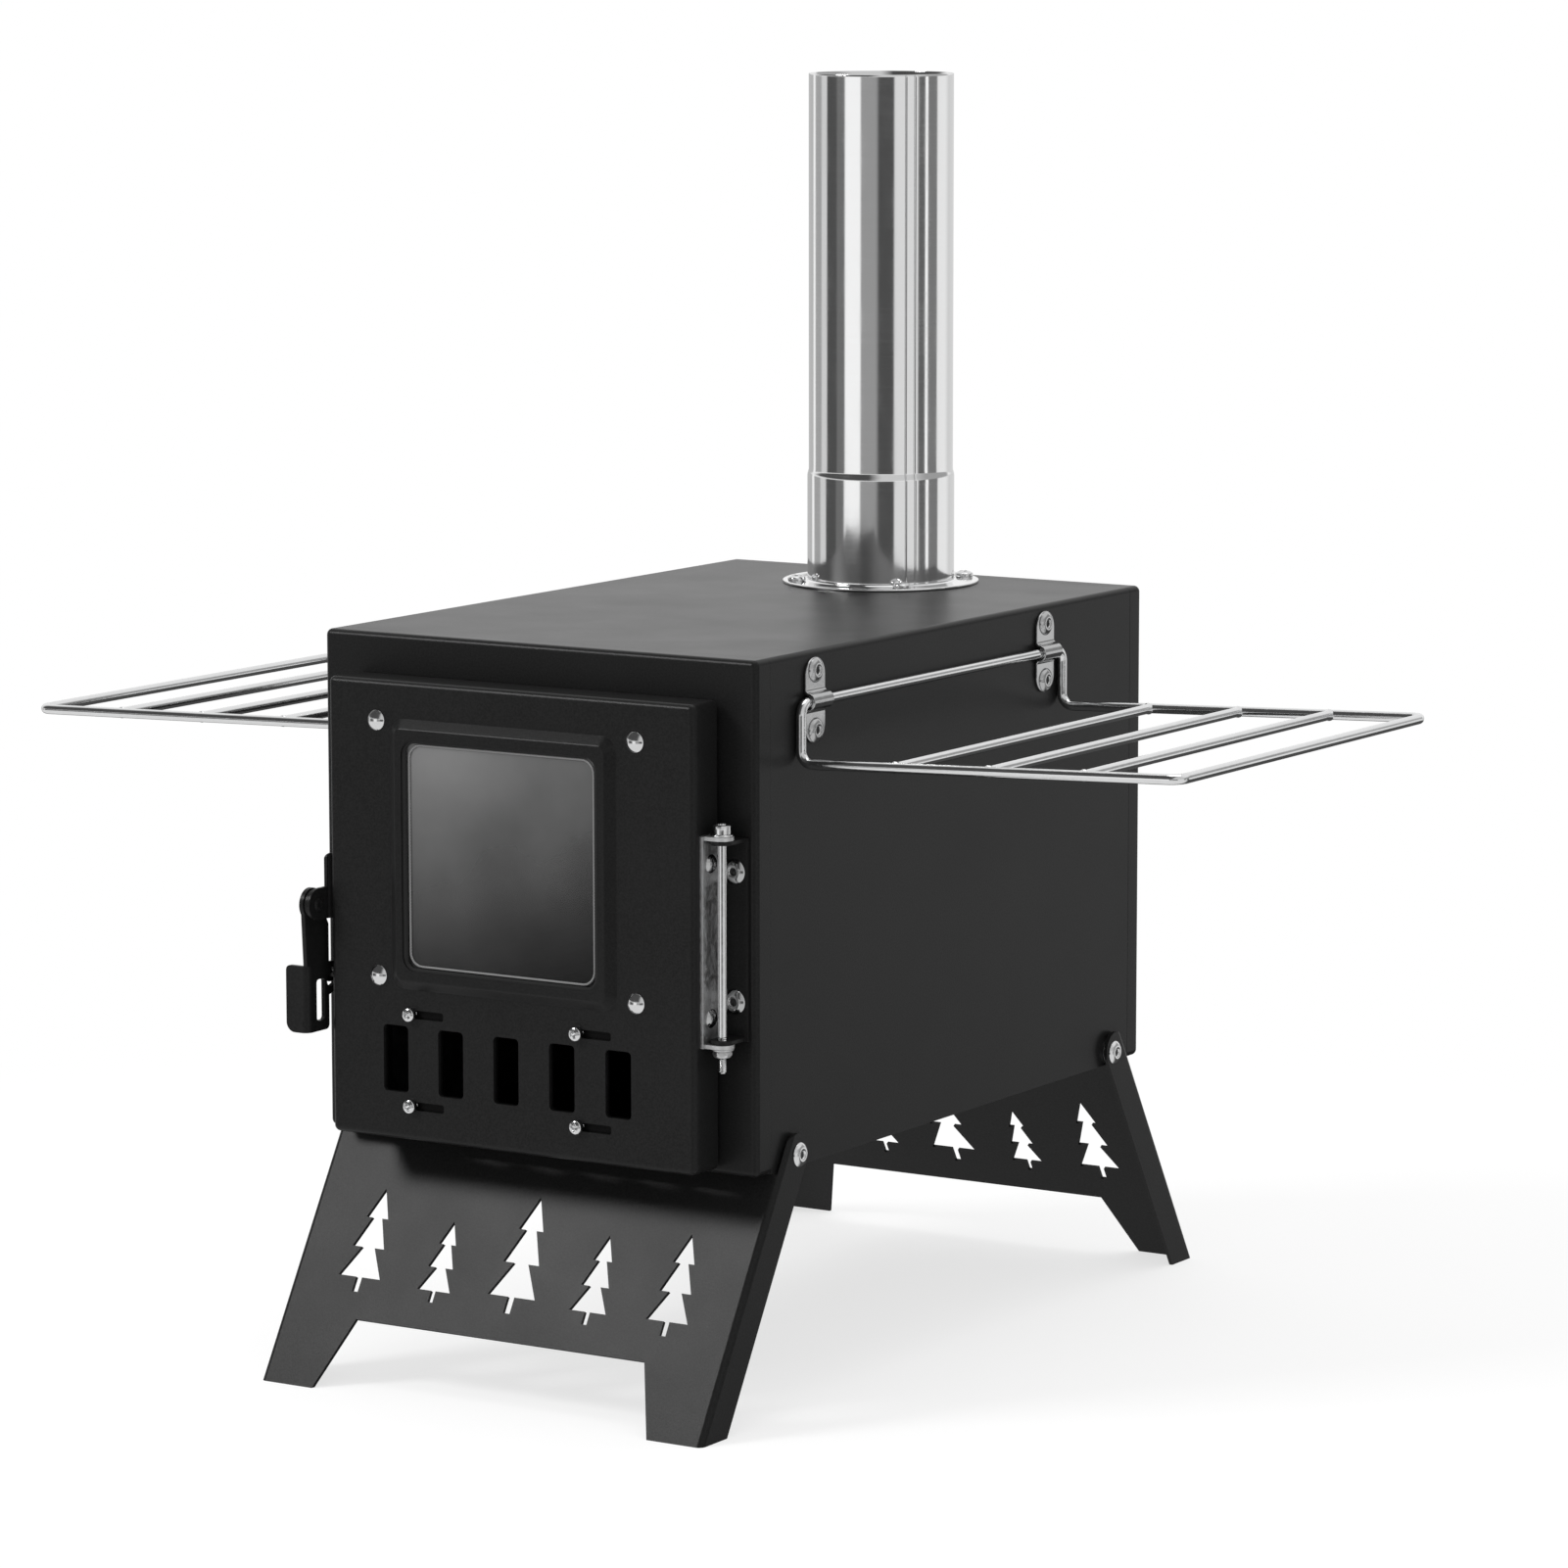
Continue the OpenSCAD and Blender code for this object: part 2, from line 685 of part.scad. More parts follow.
module flue_screws() {
    color(bright_steel) for (a = flue_screw_angles)
        translate([0, flue_y, seat_z]) rotate(a) translate([flue_screw_circle, 0, 0]) {
            dome(flue_head_r, flue_head_h);
            translate([0, 0, -flange_t - sheet_t - flue_nut_h - 1.5])
                cylinder(r = flue_screw_r, h = flange_t + sheet_t + flue_nut_h + 2);
        }
}

module flue_nuts() {
    color(zinc) for (a = flue_screw_angles)
        translate([0, flue_y, top_z - sheet_t - flue_nut_h]) rotate(a)
            translate([flue_screw_circle, 0, 0]) hex_nut(flue_nut_r, flue_nut_h, flue_screw_r + fit);
}

// Pipe with its widened end over the spigot
module flue_pipe() {
    out_r = socket_r + pipe_t;
    in_r = pipe_r - pipe_t;
    bend_z = socket_len + shoulder_len;
    color(bright_steel) translate([0, flue_y, seat_z]) rotate_extrude($fn = 96) polygon([
        [socket_r, 0], [out_r, 0], [out_r, socket_len], [pipe_r, bend_z],
        [pipe_r, pipe_len], [in_r, pipe_len], [in_r, bend_z], [socket_r, socket_len],
    ]);
}

// ---------------------------------------------------------------- hinge

// Ear of a hinge leaf, round at the bolt and square towards its leaf
module hinge_ear(leaf_w, leaf_x, leaf_y) {
    circle(ear_r);
    if (leaf_x != 0) translate([leaf_x, -leaf_w / 2]) square([-leaf_x, leaf_w]);
    if (leaf_y != 0) translate([-leaf_w / 2, 0]) square([leaf_w, leaf_y]);
}

module hinge_leaf_door() {
    color(zinc) difference() {
        union() {
            translate([door_x, hinge_y - door_leaf_w / 2, hinge_z])
                cube([leaf_t, door_leaf_w, hinge_len]);
            for (z = [hinge_z, hinge_top - leaf_t])
                translate([hinge_x, hinge_y, z]) linear_extrude(leaf_t)
                    hinge_ear(2 * ear_r, -hinge_side, 0);
        }
        translate([hinge_x, hinge_y, hinge_z - past])
            cylinder(r = hinge_bolt_r + hinge_play, h = hinge_len + 2 * past);
        for (z = door_rivet_zs)
            face_right(door_x - past, hinge_y, z)
                cylinder(r = rivet_pin_r + fit, h = leaf_t + 2 * past);
    }
}

module hinge_leaf_body() {
    low = hinge_z + leaf_t + ear_play;
    high = hinge_top - leaf_t - ear_play;
    color(black_steel) difference() {
        union() {
            translate([hinge_x - ear_r, front_y - leaf_t, low])
                cube([body_leaf_w, leaf_t, high - low]);
            for (z = [low, high - leaf_t])
                translate([hinge_x, hinge_y, z]) linear_extrude(leaf_t)
                    hinge_ear(2 * ear_r, 0, hinge_out);
        }
        translate([hinge_x, hinge_y, low - past])
            cylinder(r = hinge_bolt_r + hinge_play, h = high - low + 2 * past);
        for (z = body_rivet_zs)
            face_front(hinge_x, front_y + past, z)
                cylinder(r = rivet_pin_r + fit, h = leaf_t + 2 * past);
    }
}

module hinge_rivets_body() {
    color(bright_steel) for (z = body_rivet_zs)
        face_front(hinge_x, front_y - leaf_t, z)
            blind_rivet(rivet_r, rivet_h, rivet_pin_r, leaf_t + sheet_t);
}

module hinge_rivets_door() {
    color(bright_steel) for (z = door_rivet_zs)
        face_right(door_x + leaf_t, hinge_y, z)
            dome_rivet(leaf_head_r, leaf_head_h, rivet_pin_r, leaf_t + door_t);
}

// Bolt with its head above the ears, a washer under the head and a tail below the nut
module hinge_bolt() {
    top = hinge_top + washer_t;
    low = hinge_z - washer_t - hinge_nut_h - hinge_tail;
    color(bright_steel) translate([hinge_x, hinge_y, 0]) {
        translate([0, 0, low]) cylinder(r = hinge_bolt_r, h = top - low);
        translate([0, 0, top]) cylinder(r = hinge_head_r, h = hinge_head_h);
        translate([0, 0, hinge_top + 0.05]) cylinder(r = washer_r, h = washer_t - 0.05);
    }
}

module hinge_nut() {
    color(zinc) translate([hinge_x, hinge_y, hinge_z - washer_t - hinge_nut_h]) {
        hex_nut(hinge_nut_af / 2 / cos(30), hinge_nut_h, hinge_bolt_r);
        translate([0, 0, hinge_nut_h]) difference() {
            cylinder(r = washer_r, h = washer_t - 0.05);
            translate([0, 0, -past]) cylinder(r = hinge_bolt_r, h = washer_t + 2 * past);
        }
    }
}

// ---------------------------------------------------------------- door

// Positions of the four window rivets
module at_window_rivets() {
    for (x = [-1, 1], z = [-1, 1])
        translate([
            window_shift + rivet_aside + x * window_rivet_w / 2, 0,
            window_z + rivet_above + z * window_rivet_h / 2,
        ]) children();
}

// The row of vent slots, as a drawing
module vent_row() {
    for (i = [0 : vent_count - 1])
        translate([vent_shift + (i - (vent_count - 1) / 2) * vent_pitch, 0])
            round_rect(vent_w, vent_h, vent_r);
}

// Door pan with its raised window frame, vents and slider tracks
module door_panel() {
    color(black_steel) difference() {
        union() {
            translate([0, door_face_y, door_z + door_h / 2])
                soft_pan(door_w, door_h, door_depth, door_r, door_t);
            translate([window_shift, bezel_y, window_z]) bezel_block();
        }
        translate([window_shift, 0, window_z]) upright(gasket_y, bezel_out + past)
            round_rect(seat_w, seat_h, seat_r);
        translate([window_shift, 0, window_z]) upright(bezel_y - past, door_t + 2 * past)
            round_rect(light_w, light_h, light_r);
        at_window_rivets() face_front(0, door_in_y + past, 0)
            cylinder(r = rivet_pin_r + fit, h = door_t + 2 * past);
        translate([0, 0, vent_z]) upright(door_face_y - past, door_t + 2 * past) vent_row();
        for (x = screw_xs, z = screw_zs)
            translate([x + vent_travel / 2, 0, z]) upright(door_face_y - past, door_t + 2 * past)
                round_rect(vent_travel + track_h, track_h, track_r);
        for (z = door_rivet_zs)
            face_right(door_x - door_t - past, hinge_y, z)
                cylinder(r = rivet_pin_r + fit, h = door_t + 2 * past);
        for (z = bracket_rivet_zs)
            face_left(-door_x + door_t + past, bracket_rivet_y, z)
                cylinder(r = 1.6 + fit, h = door_t + 2 * past);
    }
}

// Half of the window frame's section: x outward from its middle, y back from its face.
// A tangent arc joins the face to the sloping edge.
module bezel_half(half) {
    slant = norm([bezel_slope, bezel_out]);
    reach = bezel_soft * tan(atan2(bezel_out, bezel_slope) / 2);
    crest = half - bezel_slope;
    polygon([
        [0, 0], [crest - reach, 0],
        [crest + reach * bezel_slope / slant, reach * bezel_out / slant],
        [half, bezel_out], [half, bezel_depth], [0, bezel_depth],
    ]);
    translate([crest - reach, bezel_soft]) circle(bezel_soft);
}

// Straight part of the raised window frame's solid
module bezel_bar(w, l) {
    linear_extrude(l, center = true) for (m = [0, 1]) mirror([m, 0]) bezel_half(w / 2);
}

// Solid of the raised window frame, its face at y = 0
module bezel_block() {
    bezel_bar(bezel_w, bezel_h - 2 * bezel_r);
    rotate([0, 90, 0]) bezel_bar(bezel_h, bezel_w - 2 * bezel_r);
    for (x = [-1, 1], z = [-1, 1])
        translate([x * (bezel_w / 2 - bezel_r), 0, z * (bezel_h / 2 - bezel_r)])
            rotate([-90, 0, 0]) rotate_extrude() intersection() {
                bezel_half(bezel_r);
                square([bezel_r, bezel_depth]);
            }
}

module window_gasket() {
    color([0.05, 0.05, 0.05]) translate([window_shift, 0, window_z])
        upright(gasket_y, gasket_t) difference() {
            round_rect(glass_w, glass_h, seat_r - 0.5);
            round_rect(gasket_w, gasket_h, light_r - 1);
        }
}

module door_glass() {
    color(glass_colour) translate([window_shift, 0, window_z]) upright(glass_y, glass_t)
        round_rect(glass_w, glass_h, seat_r - 0.5);
}

// Frame on the door's inner face, raised over the edge of the glass
module glass_retainer() {
    raised_w = seat_w + 2 * retainer_t;
    raised_h = seat_h + 2 * retainer_t;
    color(black_steel) translate([window_shift, 0, window_z]) difference() {
        union() {
            upright(door_in_y, retainer_t) round_rect(retainer_w, retainer_h, retainer_r);
            upright(door_in_y, glass_back_y + retainer_t - door_in_y)
                round_rect(raised_w, raised_h, seat_r + retainer_t);
        }
        upright(door_in_y - past, glass_back_y - door_in_y + past)
            round_rect(seat_w, seat_h, seat_r);
        upright(door_in_y - past, 2 * glass_t + 2 * past)
            round_rect(gasket_w - 2, gasket_h - 2, light_r - 1);
        translate([-window_shift, 0, -window_z]) at_window_rivets()
            face_front(0, door_in_y + retainer_t + past, 0)
                cylinder(r = rivet_pin_r + fit, h = retainer_t + 2 * past);
    }
}

module window_rivets() {
    color(bright_steel) at_window_rivets() face_front(0, door_face_y, 0)
        dome_rivet(window_rivet_r, window_rivet_r / 2, rivet_pin_r, window_grip);
}

// ---------------------------------------------------------------- air vent

module vent_slider() {
    color(black_steel) translate([0, 0, vent_z]) difference() {
        translate([vent_shift, 0, 0]) upright(slider_y, slider_t) round_rect(slider_w, slider_h, 2);
        upright(slider_y - past, slider_t + 2 * past) vent_row();
        for (x = screw_xs, z = screw_zs)
            face_front(x, slider_y + slider_t + past, z - vent_z)
                cylinder(r = screw_r + fit, h = slider_t + 2 * past);
    }
}

module slider_screws() {
    head_y = door_face_y - slider_play;
    shank = slider_y + slider_t + nut_h + 1 - head_y;
    color(bright_steel) for (x = screw_xs, z = screw_zs)
        face_front(x, head_y, z) {
            cylinder(r = screw_head_r, h = screw_head_h * 0.7);
            translate([0, 0, screw_head_h * 0.7]) dome(screw_head_r, screw_head_h * 0.3);
            translate([0, 0, -shank]) cylinder(r = screw_r, h = shank + screw_head_h / 4);
        }
}

module slider_nuts() {
    color(zinc) for (x = screw_xs, z = screw_zs)
        face_front(x, slider_y + slider_t + nut_h, z) hex_nut(nut_r, nut_h, screw_r + fit);
}

// ---------------------------------------------------------------- latch

// Seen from above, the bracket's sheet steps out from the door's side to its ear
module bracket_section() {
    root_y = base_front_y + 2.5;
    polygon([
        [bracket_x, base_back_y], [bracket_x - bracket_t, base_back_y],
        [bracket_x - bracket_t, root_y], [ear_x, base_front_y],
        [ear_x, latch_y - latch_ear_r - past], [ear_x + bracket_t, latch_y - latch_ear_r - past],
        [ear_x + bracket_t, base_front_y + 0.6], [bracket_x, root_y + 0.6],
    ]);
}

// Seen from the side, the ear runs back into a taller base
module bracket_outline() {
    base_l = base_back_y - base_front_y;
    translate([latch_y, latch_z]) circle(latch_ear_r);
    translate([latch_y, latch_z - latch_ear_r]) square([base_back_y - latch_y, 2 * latch_ear_r]);
    translate([base_front_y + base_l / 2, latch_z + (bracket_top - latch_ear_r) / 2])
        round_rect(base_l, bracket_top + latch_ear_r, 2.5);
}

module latch_bracket() {
    color(black_steel) difference() {
        intersection() {
            translate([0, 0, latch_z - 2 * latch_ear_r])
                linear_extrude(2 * latch_ear_r + bracket_top + past) bracket_section();
            sideways(ear_x - past, step_out + bracket_t + 2 * past) bracket_outline();
        }
        face_left(bracket_x + past, latch_y, latch_z)
            cylinder(r = latch_pin_r + latch_play, h = step_out + bracket_t + 2 * past);
        for (z = bracket_rivet_zs)
            face_left(bracket_x + past, bracket_rivet_y, z)
                cylinder(r = 1.6 + fit, h = bracket_t + 2 * past);
    }
}

module bracket_rivets() {
    color(black_steel) for (z = bracket_rivet_zs)
        face_left(bracket_x - bracket_t, bracket_rivet_y, z)
            dome_rivet(bracket_head_r, 1.3, 1.6, bracket_t + door_t);
}

// Rivet that the handle turns on, through the bracket's ear and the washer
module latch_pivot() {
    grip = bracket_t + latch_washer_t + handle_t + 0.2;
    color(black_steel) face_left(handle_x - 0.1, latch_y, latch_z) {
        dome(4, 1.4);
        translate([0, 0, -grip]) cylinder(r = latch_pin_r, h = grip + 0.4);
        translate([0, 0, -grip]) mirror([0, 0, 1]) difference() {
            dome(2.9, 0.9);
            cylinder(r = 1.4, h = 3, center = true);
        }
    }
}

module latch_washer() {
    color(black_steel) face_left(ear_x, latch_y, latch_z) difference() {
        cylinder(r = latch_ear_r - 0.6, h = latch_washer_t - 0.1);
        translate([0, 0, -past]) cylinder(r = latch_pin_r + fit, h = latch_washer_t + 2 * past);
    }
}

// Ring sector between two radii, from angle a to angle b measured back from straight down
module sector(r_in, r_out, a, b) {
    mid = (a + b) / 2;
    far = r_out * 1.5;
    intersection() {
        difference() { circle(r_out, $fn = 96); circle(r_in, $fn = 96); }
        polygon([
            [0, 0], [far * sin(a), -far * cos(a)],
            [far * sin(mid), -far * cos(mid)], [far * sin(b), -far * cos(b)],
        ]);
    }
}

// Latch handle's blade seen from the side, its pivot at the origin
module handle_outline() {
    neck = latch_ear_r - 1;
    hook_out = hook_reach + hook_slot + hook_wall;
    corner = 2;
    grip_z = hook_reach + 4.7;
    difference() {
        union() {
            circle(latch_ear_r);
            polygon([
                [-neck, 0], [neck, 0], [blade_back, -latch_ear_r - 3], [blade_back, -hook_out],
                [-tab_out, -hook_out], [-tab_out, -handle_len + tab_h],
            ]);
            translate([-tab_out, -handle_len])
                square([tab_out + blade_back - corner, handle_len - hook_reach]);
            translate([-tab_out, -handle_len + corner])
                square([tab_out + blade_back, handle_len - hook_reach]);
            translate([blade_back - corner, -handle_len + corner]) circle(corner);
            sector(hook_reach - hook_slot - 5, hook_out, 0, hook_tip);
        }
        sector(hook_reach - hook_slot, hook_reach + hook_slot, hook_root, hook_tip + 5);
        translate([hook_reach * sin(hook_root), -hook_reach * cos(hook_root)]) circle(hook_slot);
        translate([grip_w / 2 + 2.2, -grip_z]) round_rect(grip_w, grip_h, 1.5);
    }
}

// Finger tab seen from the front, its lower inner corner at the origin
module tab_outline(w) {
    low_r = 4;
    high_r = 2;
    translate([-w + low_r, 0]) square([w - low_r, tab_h]);
    translate([-w + high_r, low_r]) square([w - high_r, tab_h - low_r]);
    translate([-w, low_r]) square([w, tab_h - low_r - high_r]);
    translate([-w + low_r, low_r]) circle(low_r);
    translate([-w + high_r, tab_h - high_r]) circle(high_r);
}

// Quarter of the sheet's bend, from the tab round to the blade
module tab_bend_section() {
    intersection() {
        difference() {
            circle(tab_bend);
            circle(tab_bend - handle_t);
        }
        translate([0, -tab_bend]) square(tab_bend);
    }
}

module latch_handle() {
    tab_z = latch_z - handle_len;
    tab_y = latch_y - tab_out;
    bend_x = handle_x + handle_t - tab_bend;
    color(black_steel) {
        difference() {
            translate([0, latch_y, latch_z]) sideways(handle_x, handle_t) handle_outline();
            translate([handle_x - past, tab_y - past, tab_z - past])
                cube([handle_t + 2 * past, tab_bend + past, tab_h + past]);
            face_left(handle_x + handle_t + past, latch_y, latch_z)
                cylinder(r = latch_pin_r + latch_play, h = handle_t + 2 * past);
        }
        translate([bend_x, tab_y + tab_bend, tab_z]) linear_extrude(tab_h) tab_bend_section();
        translate([bend_x, 0, tab_z]) upright(tab_y, handle_t) tab_outline(tab_w - tab_bend);
    }
}

// Angle bracket on the front pan that carries the keeper pin
module latch_keeper() {
    ear_depth = keeper_out + keeper_r + 2;
    color(black_steel) difference() {
        union() {
            translate([keeper_x, front_y - keeper_t, keeper_z - keeper_h / 2])
                cube([keeper_w, keeper_t, keeper_h]);
            sideways(keeper_x, keeper_t) {
                translate([keeper_y, keeper_z]) circle(keeper_r + 2);
                translate([keeper_y, keeper_z - keeper_r - 2])
                    square([keeper_out, 2 * keeper_r + 4]);
                translate([front_y - ear_depth / 3, keeper_z - keeper_h / 2])
                    square([ear_depth / 3, keeper_h]);
            }
            translate([keeper_x, keeper_y, keeper_z]) bar_x(keeper_r, keeper_pin_end - keeper_x);
        }
        for (z = keeper_rivet_zs)
            face_front(keeper_rivet_x, front_y + past, z)
                cylinder(r = keeper_rivet_r + fit, h = keeper_t + 2 * past);
    }
}

module keeper_rivets() {
    color(black_steel) for (z = keeper_rivet_zs)
        face_front(keeper_rivet_x, front_y - keeper_t, z)
            dome_rivet(keeper_head_r, 0.9, keeper_rivet_r, keeper_t + sheet_t);
}

// ---------------------------------------------------------------- legs

// Fir tree of three tiers on a short trunk, its foot at the origin
module fir(h, w) {
    trunk = h * 0.14;
    tiers = 3;
    rise = (h - trunk) / tiers;
    translate([-w * 0.07, 0]) square([w * 0.14, trunk + 1]);
    for (i = [0 : tiers - 1]) {
        half = w / 2 * (1 - i * 0.24);
        peak = min(rise * 1.45, h - trunk - i * rise);
        translate([0, trunk + i * rise]) polygon([[-half, 0], [half, 0], [0, peak]]);
    }
}

// Outline of a leg's side flange and ear, its pivot at the origin
module leg_side() {
    mid = leg_flange / 2 - leg_web_out;
    translate([mid, 0]) circle(leg_flange / 2);
    translate([-leg_web_out, -leg_long]) square([leg_flange, leg_long]);
}

// Front leg with its pivot at the origin, before it is splayed
module leg_blank() {
    notch_low = leg_long - notch_top + past;
    spread = notch_low * tan(foot_slope);
    half = notch_w / 2;
    web_y = -leg_web_out - past;
    difference() {
        intersection() {
            translate([0, leg_flange - leg_web_out, -leg_long])
                linear_extrude(leg_long + leg_flange) difference() {
                    round_rect(2 * leg_x, 2 * leg_flange, leg_r);
                    round_rect(2 * (leg_x - leg_t), 2 * (leg_flange - leg_t), leg_r - leg_t);
                    translate([-leg_x - past, 0]) square([2 * (leg_x + past), 2 * leg_flange]);
                }
            sideways(-leg_x - past, 2 * (leg_x + past)) leg_side();
        }
        translate([-leg_x + leg_t, web_y, -leg_web_top])
            cube([2 * (leg_x - leg_t), leg_flange, leg_web_top + leg_flange]);
        upright(web_y, leg_t + 2 * past) polygon([
            [-half, -notch_top], [half, -notch_top],
            [half + spread, -leg_long - past], [-half - spread, -leg_long - past],
        ]);
        for (i = [0 : len(tree_scale) - 1])
            translate([(i - (len(tree_scale) - 1) / 2) * tree_pitch, 0, -notch_top + tree_rise])
                upright(web_y, leg_t + 2 * past) fir(tree_h * tree_scale[i], tree_w * tree_scale[i]);
        translate([-leg_x - past, 0, 0]) bar_x(leg_pin_r + leg_play, 2 * (leg_x + past));
    }
}

// Leg in place at the front, its feet cut level with the ground
module leg_placed() {
    reach = leg_long + leg_flange;
    intersection() {
        translate([0, leg_y, leg_z]) rotate([-leg_splay, 0, 0]) leg_blank();
        translate([-leg_x - past, leg_y - reach, 0])
            cube([2 * (leg_x + past), 2 * reach, ground_gap + body_h]);
    }
}

module leg_front() { color(black_steel) leg_placed(); }
module leg_rear() { color(black_steel) rotate(180) leg_placed(); }

// Blind rivets that the legs turn on
module leg_rivets() {
    color(bright_steel) for (s = [0, 180], m = [0, 1])
        rotate(s) mirror([m, 0, 0]) face_right(leg_x + 0.1, leg_y, leg_z)
            blind_rivet(rivet_r, rivet_h, leg_pin_r, leg_grip + leg_washer_t + leg_t + 0.1);
}

module leg_washers() {
    color(zinc) for (s = [0, 180], m = [0, 1])
        rotate(s) mirror([m, 0, 0]) face_right(side_x, leg_y, leg_z) difference() {
            cylinder(r = rivet_r, h = leg_washer_t - 0.1);
            translate([0, 0, -past]) cylinder(r = leg_pin_r + fit, h = leg_washer_t + 2 * past);
        }
}

// ---------------------------------------------------------------- racks

// Section under a hump of radius r, its feet flared to meet the wall-side strap
module clip_hump(r) {
    bend = clip_hole + clip_t + clip_flare;
    lean = clip_t + clip_flare - clip_hole;
    foot = sqrt(bend * bend - lean * lean);
    translate([clip_hole, 0]) circle(r);
    difference() {
        translate([-past, -foot]) square([past + clip_hole + r * lean / bend, 2 * foot]);
        for (z = [-foot, foot]) translate([clip_t + clip_flare, z]) circle(bend - r);
    }
}

// Clip: two lobes on the wall and a flared hump over the pivot wire
module rack_clip() {
    outer = clip_hole + clip_t;
    intersection() {
        translate([0, clip_w / 2, 0]) rotate([90, 0, 0]) linear_extrude(clip_w) difference() {
            union() {
                translate([0, -clip_len / 2]) square([clip_t, clip_len]);
                clip_hump(outer);
            }
            clip_hump(clip_hole);
        }
        sideways(0, outer + clip_hole + past)
            round_rect(clip_w, clip_len, clip_w / 2 - 0.01);
    }
}

module rack_clips(side) {
    color(bright_steel) mirror([side < 0 ? 1 : 0, 0, 0]) for (y = clip_ys)
        translate([side_x, y, rack_z]) difference() {
            rack_clip();
            for (z = clip_rivet_zs)
                translate([-past, 0, z - rack_z]) bar_x(rivet_pin_r + fit, clip_t + 2 * past);
        }
}

module clip_rivets(side) {
    color(bright_steel) mirror([side < 0 ? 1 : 0, 0, 0]) for (y = clip_ys, z = clip_rivet_zs)
        face_right(side_x + clip_t, y, z)
            blind_rivet(rivet_r, rivet_h, rivet_pin_r, clip_t + sheet_t);
}

// Quarter bend of the wire
module wire_quarter() {
    rotate_extrude(angle = 90) translate([wire_bend, 0]) circle(wire_r, $fn = 24);
}

// One end of the rack: hook at the pivot wire, drop and bend towards the shelf
module rack_end() {
    low = -rack_drop + wire_bend;
    translate([0, wire_bend, -wire_bend]) rotate([0, -90, 0]) rotate(-90) wire_quarter();
    translate([0, 0, low]) bar_z(wire_r, -wire_bend - low);
    translate([wire_bend, 0, low]) rotate([90, 0, 0]) rotate(180) wire_quarter();
}

// Length of shelf wire from the lower bend to the outer wire
function shelf_run(tilt) = (rack_reach - wire_bend) / cos(tilt);

// Puts a shelf drawn with x outward and y back on the tilted shelf plane
module on_shelf(tilt) {
    translate([wire_bend, 0, -rack_drop]) rotate([0, -tilt, 0]) children();
}

// Closed wire loop of a rack, its pivot wire on the Y axis
module rack_loop(tilt) {
    run = shelf_run(tilt);
    straight = run - wire_bend;
    translate([0, wire_bend, 0]) bar_y(wire_r, rack_len - 2 * wire_bend);
    rack_end();
    translate([0, rack_len, 0]) mirror([0, 1, 0]) rack_end();
    on_shelf(tilt) {
        for (y = [0, rack_len]) translate([0, y, 0]) {
            sphere(wire_r + 0.02);
            bar_x(wire_r, straight);
        }
        translate([run, wire_bend, 0]) bar_y(wire_r, rack_len - 2 * wire_bend);
        translate([straight, wire_bend, 0]) rotate(-90) wire_quarter();
        translate([straight, rack_len - wire_bend, 0]) wire_quarter();
    }
}

// Wires across the shelf, their ends hollowed to sit on the loop
module rack_crossbars(tilt) {
    run = shelf_run(tilt);
    on_shelf(tilt) for (i = [1 : rack_bar_count]) difference() {
        translate([i * bar_pitch - wire_bend, 0, 0]) bar_y(wire_r, rack_len);
        for (y = [0, rack_len])
            translate([-past, y, 0]) bar_x(wire_r, run + 2 * past);
    }
}

module rack_placed(side) {
    mirror([side < 0 ? 1 : 0, 0, 0]) translate([rack_x, rack_y, rack_z]) children();
}

module rack_clips_left() { rack_clips(-1); }
module rack_clips_right() { rack_clips(1); }
module clip_rivets_left() { clip_rivets(-1); }
module clip_rivets_right() { clip_rivets(1); }
module rack_frame_left() { color(bright_steel) rack_placed(-1) rack_loop(tilt_left); }
module rack_frame_right() { color(bright_steel) rack_placed(1) rack_loop(tilt_right); }
module rack_bars_left() { color(bright_steel) rack_placed(-1) rack_crossbars(tilt_left); }
module rack_bars_right() { color(bright_steel) rack_placed(1) rack_crossbars(tilt_right); }

body_shell();
front_frame();
back_panel();
floor_panel();
fire_grate();
flue_collar();
flue_screws();
flue_nuts();
flue_pipe();
hinge_leaf_body();
hinge_rivets_body();
hinge_bolt();
hinge_nut();
latch_keeper();
keeper_rivets();
rack_clips_left();
rack_clips_right();
clip_rivets_left();
clip_rivets_right();
leg_rivets();
leg_washers();
leg_front();
leg_rear();
door_panel();
window_gasket();
door_glass();
glass_retainer();
window_rivets();
hinge_leaf_door();
hinge_rivets_door();
latch_bracket();
bracket_rivets();
latch_pivot();
latch_washer();
latch_handle();
vent_slider();
slider_screws();
slider_nuts();
rack_frame_left();
rack_bars_left();
rack_frame_right();
rack_bars_right();
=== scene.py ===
"""Looks of the tent wood stove: studio, finishes and the detailed pieces round the CAD frame.

Sizes are millimetres in the stove's own frame, with X to the right, Y to the back and Z up,
and become metres when a mesh is made.
"""

import logging
import math
from dataclasses import dataclass
from enum import Enum
from functools import lru_cache

import bmesh
import bpy
import numpy as np
from mathutils import Matrix, Vector


